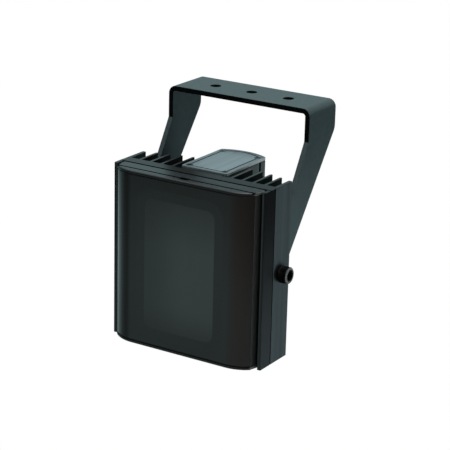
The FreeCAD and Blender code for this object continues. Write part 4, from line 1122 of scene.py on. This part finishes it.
@dataclass
class CableGland:
    """Nylon cable gland that hangs under the box: hexagon flange, neck, thread and domed clamping nut.

    Attributes:
        axis_y: The gland's axis in Y.
        plate_z: Underside of the lower end plate.
        flange_flats: Width of the flange between flats.
        flange_height: Height of the flange.
        flange_turned: How far its corners stand out, as a share of its flats.
        neck_radius: Radius of the neck.
        neck_height: From the flange to the neck's end.
        thread_radius: Radius of the thread.
        thread_height: From the plate's underside to the thread's end.
        thread_pitch: Pitch of the thread.
        thread_depth: Depth of the thread.
        thread_rings: Rings along the thread.
        bore_radius: Radius of the bore.
        dome_flats: Width of the clamping nut between flats.
        dome_start: From the plate to where the nut begins.
        dome_height: Height of the nut.
        dome_radius: Radius that its corners are turned down to.
        dome_rounding: Rounding of its mouth.
        dome_rings: Rings along that rounding.
        edge: Chamfer of flange and nut.
        columns: Points once round, a multiple of six.
    """

    axis_y: float = -36.7 * MM
    plate_z: float = -188.0 * MM
    flange_flats: float = 22.0 * MM
    flange_height: float = 5.0 * MM
    flange_turned: float = 1.12
    neck_radius: float = 7.0 * MM
    neck_height: float = 9.0 * MM
    thread_radius: float = 8.0 * MM
    thread_height: float = 7.0 * MM
    thread_pitch: float = 1.5 * MM
    thread_depth: float = 0.5 * MM
    thread_rings: int = 29
    bore_radius: float = 4.0 * MM
    dome_flats: float = 20.0 * MM
    dome_start: float = 5.5 * MM
    dome_height: float = 13.0 * MM
    dome_radius: float = 11.0 * MM
    dome_rounding: float = 2.5 * MM
    dome_rings: int = 9
    edge: float = 0.4 * MM
    columns: int = 96

    def body(self) -> Stations:
        """Flange, neck and thread with the bore through them.

        The thread's crests wind round: its radius falls and rises with a triangle wave of the depth over the pitch
        plus the angle over a whole turn.

        Returns:
            The profile, downwards from the plate.
        """
        turn = once_round(self.columns)
        places = np.linspace(-self.thread_height, 0.0, self.thread_rings)
        wave = np.abs(np.mod(places[:, None] / self.thread_pitch + turn / TURN, 1.0) * 2 - 1)
        threaded = self.thread_radius - self.thread_depth * wave
        flange = np.minimum(hexagon_radius(turn, self.flange_flats), self.flange_flats / 2 * self.flange_turned)
        under, end = self.flange_height, self.flange_height + self.neck_height
        return [*zip(places, threaded), (0.0, flange - self.edge), (self.edge, flange), (under - self.edge, flange),
                (under, flange - self.edge), (under, self.neck_radius), (end, self.neck_radius),
                (end, self.bore_radius), (-self.thread_height, self.bore_radius)]

    def dome(self) -> Stations:
        """Clamping nut: a hexagon whose corners are turned down and whose mouth is rounded.

        The outside is the lesser of the hexagon and a crown that falls away as a quarter circle at the mouth. The
        inside steps from the neck's radius to the bore's.

        Returns:
            The profile, downwards from the plate.
        """
        hexagon = hexagon_radius(once_round(self.columns), self.dome_flats)
        start, end = self.dome_start, self.dome_start + self.dome_height
        rise = np.linspace(0.0, TURN / 4, self.dome_rings)
        places = end - self.dome_rounding * (1 - np.sin(rise))
        crown = np.minimum(hexagon, (self.dome_radius - self.dome_rounding * (1 - np.cos(rise)))[:, None])
        nut = np.minimum(hexagon, self.dome_radius)
        step = start + self.neck_height
        return [(start, nut - self.edge), (start + self.edge, nut), *zip(places, crown),
                (end, self.bore_radius + self.edge), (end - self.edge, self.bore_radius), (step, self.bore_radius),
                (step, self.neck_radius), (start, self.neck_radius)]

    def build(self) -> None:
        """Make the gland's body and its clamping nut, and dress its locknut."""
        for name, node, stations in (("gland_threaded_body", "gland_body", self.body()),
                                     ("gland_domed_nut", "gland_dome", self.dome())):
            down, across, back = carried_round(stations, self.columns)
            points = np.stack([across, self.axis_y + back, self.plate_z - down], axis=-1).reshape(-1, 3)
            piece = mesh_piece(name, points, grid_faces(*down.shape, close_rows=True, close_columns=True))
            close_skin(piece)
            smooth(piece, sharp=32.0)
            dress(piece, node, NYLON, Body.HEAD)
        paint_nodes(NYLON, "gland_locknut")


@dataclass
class PowerBox:
    """Rear box with its end plates, gland and the parts inside.

    Attributes:
        edge_radius: Edge rounding of the case and its plates.
    """

    edge_radius: float = 0.25 * MM

    def build(self) -> None:
        """Make and dress the box's pieces."""
        rounded_copies(self.edge_radius, BOX_SILVER, Body.HEAD, "box_metal", "box_shell")
        rounded_copies(self.edge_radius, PLATE_SILVER, Body.HEAD, "box_metal", "box_top_plate", "box_bottom_plate")
        paint_nodes(DARK_STEEL, "box_top_screws", "box_bottom_screws")
        paint_nodes(STEEL, "box_fixing_screws", "box_fixing_nuts")
        paint_nodes(RUBBER, "box_top_seal", "box_bottom_seal")
        for node, finish in (("driver_board", GREEN), ("driver_capacitors", SLEEVE), ("driver_coil", COPPER),
                             ("terminal_block", TERMINAL)):
            paint_nodes(finish, node)
        CableGland().build()


@dataclass(frozen=True)
class Lamp:
    """A square area lamp.

    Attributes:
        name: The lamp's name.
        place: Where it stands.
        target: The point it faces.
        size: Its edge length.
        power: Its power in watts.
        mirrored: Whether glossy faces mirror it.
    """

    name: str
    place: Size
    target: Size
    size: float
    power: float
    mirrored: bool = False

    def build(self) -> None:
        """Add the lamp to the scene."""
        light = bpy.data.lights.new(self.name, "AREA")
        light.size = self.size
        light.energy = self.power
        lamp = bpy.data.objects.new(self.name, light)
        lamp.location = self.place
        towards = Vector(self.target) - Vector(self.place)
        lamp.rotation_euler = towards.to_track_quat("-Z", "Y").to_euler()
        lamp.visible_glossy = self.mirrored
        bpy.context.scene.collection.objects.link(lamp)


@dataclass
class Screen:
    """Curtain and ground cloth round the lamp that the polished faces mirror and the camera doesn't see.

    Attributes:
        radius: Its distance.
        hole: Radius of the ground cloth's hole.
        low: Height of its lower edge.
        high: Height of its upper edge.
        split: Height below which the low tones show, and above which the high ones.
        low_tones: Angle round from the front towards +X in degrees, and tone, in rising order.
        high_tones: The same for the upper part.
        fade: Height past which the low tones fade, and the share of them that is left there.
        ground: Height above the ground cloth, and the share of them that is left on it.
        cloth: Colour of the cloth itself.
        steps: Facets once round.
    """

    radius: float = 1.5
    hole: float = 0.02
    low: float = -0.74
    high: float = 1.1
    split: Limit = Limit(Axis.Z, 0.25, 0.2)
    low_tones: tuple[tuple[float, Colour], ...] = (
        (-180, (90, 98, 100)), (-128, (232, 255, 255)), (-94, (192, 228, 228)), (-70, (130, 146, 146)),
        (-52, (114, 126, 126)), (-37, (192, 219, 218)), (-8, (186, 187, 182)), (14, (186, 176, 166)),
        (80, (120, 116, 112)), (130, (90, 98, 100)), (180, (90, 98, 100)))
    high_tones: tuple[tuple[float, Colour], ...] = (
        (-180, (188, 224, 228)), (-110, (188, 224, 228)), (-60, (110, 120, 120)), (60, (100, 104, 104)),
        (120, (170, 200, 204)), (180, (188, 224, 228)))
    fade: tuple[Limit, float] = (Limit(Axis.Z, -0.48, -0.32), 0.15)
    ground: tuple[Limit, float] = (Limit(Axis.Z, -0.69, 0.08), 0.68)
    cloth: Colour = (130, 130, 130)
    steps: int = 72

    def build(self) -> None:
        """Make the cloth: a disc that goes over into a cylinder's wall.

        Each ring's points lie at its radius times the sine and minus the cosine of the angle round the lamp.
        """
        angle = np.linspace(-TURN / 2, TURN / 2, self.steps, endpoint=False)
        turn, reach = np.meshgrid(angle, np.array([self.hole, self.radius, self.radius]), indexing="ij")
        rise = np.broadcast_to(np.array([self.low, self.low, self.high]), turn.shape)
        points = np.stack([reach * np.sin(turn), -reach * np.cos(turn), rise], axis=-1)
        screen = mesh_piece("curtain", points.reshape(-1, 3), grid_faces(self.steps, 3, close_rows=True))
        shader = Shader("curtain_cloth")
        shader.give("Base Color", self.cloth)
        shader.give("Roughness", 1.0)
        forward = shader.product(shader.along(Axis.Y), -1.0)
        round_it = shader.math("ARCTAN2", shader.along(Axis.X), forward)
        share = shader.math("ADD", shader.math("DIVIDE", round_it, TURN), 0.5)
        low, high = (shader.ramp(share, [((place + 180) / 360, tone) for place, tone in tones])
                     for tones in (self.low_tones, self.high_tones))
        falling = [shader.range(limit.mask(shader), least, 1.0) for limit, least in (self.fade, self.ground)]
        tone = shader.blend(self.split.mask(shader), shader.dim(low, shader.product(*falling)), high)
        shader.glow_for(shader.rays("Glossy"), tone)
        screen.data.materials.append(shader.material)
        screen.visible_camera = False


@dataclass
class Studio:
    """Pale floor, white surround, soft lamps and the camera.

    Attributes:
        aim: Point that the camera looks at.
        azimuth: Degrees round from the front, towards +X.
        elevation: Degrees above the horizon.
        roll: Degrees that the camera is turned about its own view, counter-clockwise.
        distance: From the aim to the camera.
        lens: Focal length.
        sensor: Width of the sensor that it goes with.
        floor_level: Height of the floor.
        floor_half: Half of its width.
        floor_paint: Its colour.
        fill: Strength of the surround as a light.
        white_for: Kinds of rays that see floor and surround as white.
        lamps: The lamps.
    """

    aim: Size = (0.0109, -0.05175, -0.09277)
    azimuth: float = 31.932
    elevation: float = 18.296
    roll: float = 1.424
    distance: float = 1.3173
    lens: float = 137.772
    sensor: float = 36.0
    floor_level: float = -0.75
    floor_half: float = 6.0
    floor_paint: Colour = (243.4, 243.4, 243.4)
    fill: float = 0.08
    white_for: tuple[str, ...] = ("Camera", "Glossy", "Transmission")
    lamps: tuple[Lamp, ...] = (
        Lamp("top_light", (0.0, -0.3, 1.2), (0.0, -0.04, -0.1), 0.6, 7.2, mirrored=True),
        Lamp("side_light", (0.9, -0.35, -0.1), (0.06, -0.08, -0.12), 0.4, 1.2),
        Lamp("left_light", (-1.2, 0.05, 0.1), (0.0, -0.05, -0.12), 0.7, 4.0),
        Lamp("back_light", (-0.2, 1.2, 0.15), (0.0, -0.02, -0.1), 0.7, 4.0),
        Lamp("right_light", (0.55, 0.16, -0.36), (0.06, -0.04, -0.1), 0.3, 1.5))

    def build(self) -> None:
        """Make the surround, the floor, the curtain, the lamps and the camera."""
        self.surround()
        self.floor()
        Screen().build()
        for lamp in self.lamps:
            lamp.build()
        self.camera()

    def surround(self) -> None:
        """White where it is seen or mirrored, and a soft grey light everywhere else."""
        world = bpy.data.worlds.new("surround")
        world.use_nodes = True
        nodes = Nodes(world.node_tree)
        background = nodes.tree.nodes["Background"]
        nodes.feed(background.inputs["Color"], WHITE)
        nodes.feed(background.inputs["Strength"], nodes.range(nodes.rays(*self.white_for), self.fill, 1.0))
        bpy.context.scene.world = world

    def floor(self) -> None:
        """Pale floor far below the lamp, which hangs from its bracket."""
        corners = np.array([(-1, -1), (1, -1), (1, 1), (-1, 1)]) * self.floor_half
        floor = mesh_piece("floor", np.column_stack([corners, np.full(4, self.floor_level)]), [(0, 1, 2, 3)])
        shader = Shader("floor_paint")
        shader.give("Base Color", self.floor_paint)
        shader.give("Roughness", 0.9)
        shader.glow_for(shader.rays(*self.white_for), WHITE)
        floor.data.materials.append(shader.material)

    def camera(self) -> None:
        """Place the camera at the photograph's angle."""
        turn = math.radians(self.azimuth)
        rise = math.radians(self.elevation)
        back = Vector((math.sin(turn) * math.cos(rise), -math.cos(turn) * math.cos(rise), math.sin(rise)))
        lens = bpy.data.cameras.new("camera")
        lens.lens = self.lens
        lens.sensor_width = self.sensor
        lens.sensor_fit = "HORIZONTAL"
        camera = bpy.data.objects.new("camera", lens)
        camera.rotation_euler = (-back).to_track_quat("-Z", "Y").to_matrix().to_euler()
        camera.rotation_euler.rotate_axis("Z", math.radians(self.roll))
        camera.location = Vector(self.aim) + back * self.distance
        bpy.context.scene.collection.objects.link(camera)
        bpy.context.scene.camera = camera


def main() -> None:
    """Build the lamp and its studio in order."""
    logging.basicConfig(level=logging.INFO, format="%(name)s %(message)s")
    bpy.context.scene.view_settings.view_transform = "Standard"
    for assembly in (Bracket(), HeatSink(), FrontCover(), LightEngine(), PowerBox(), Studio()):
        assembly.build()


if __name__ == "__main__":
    main()
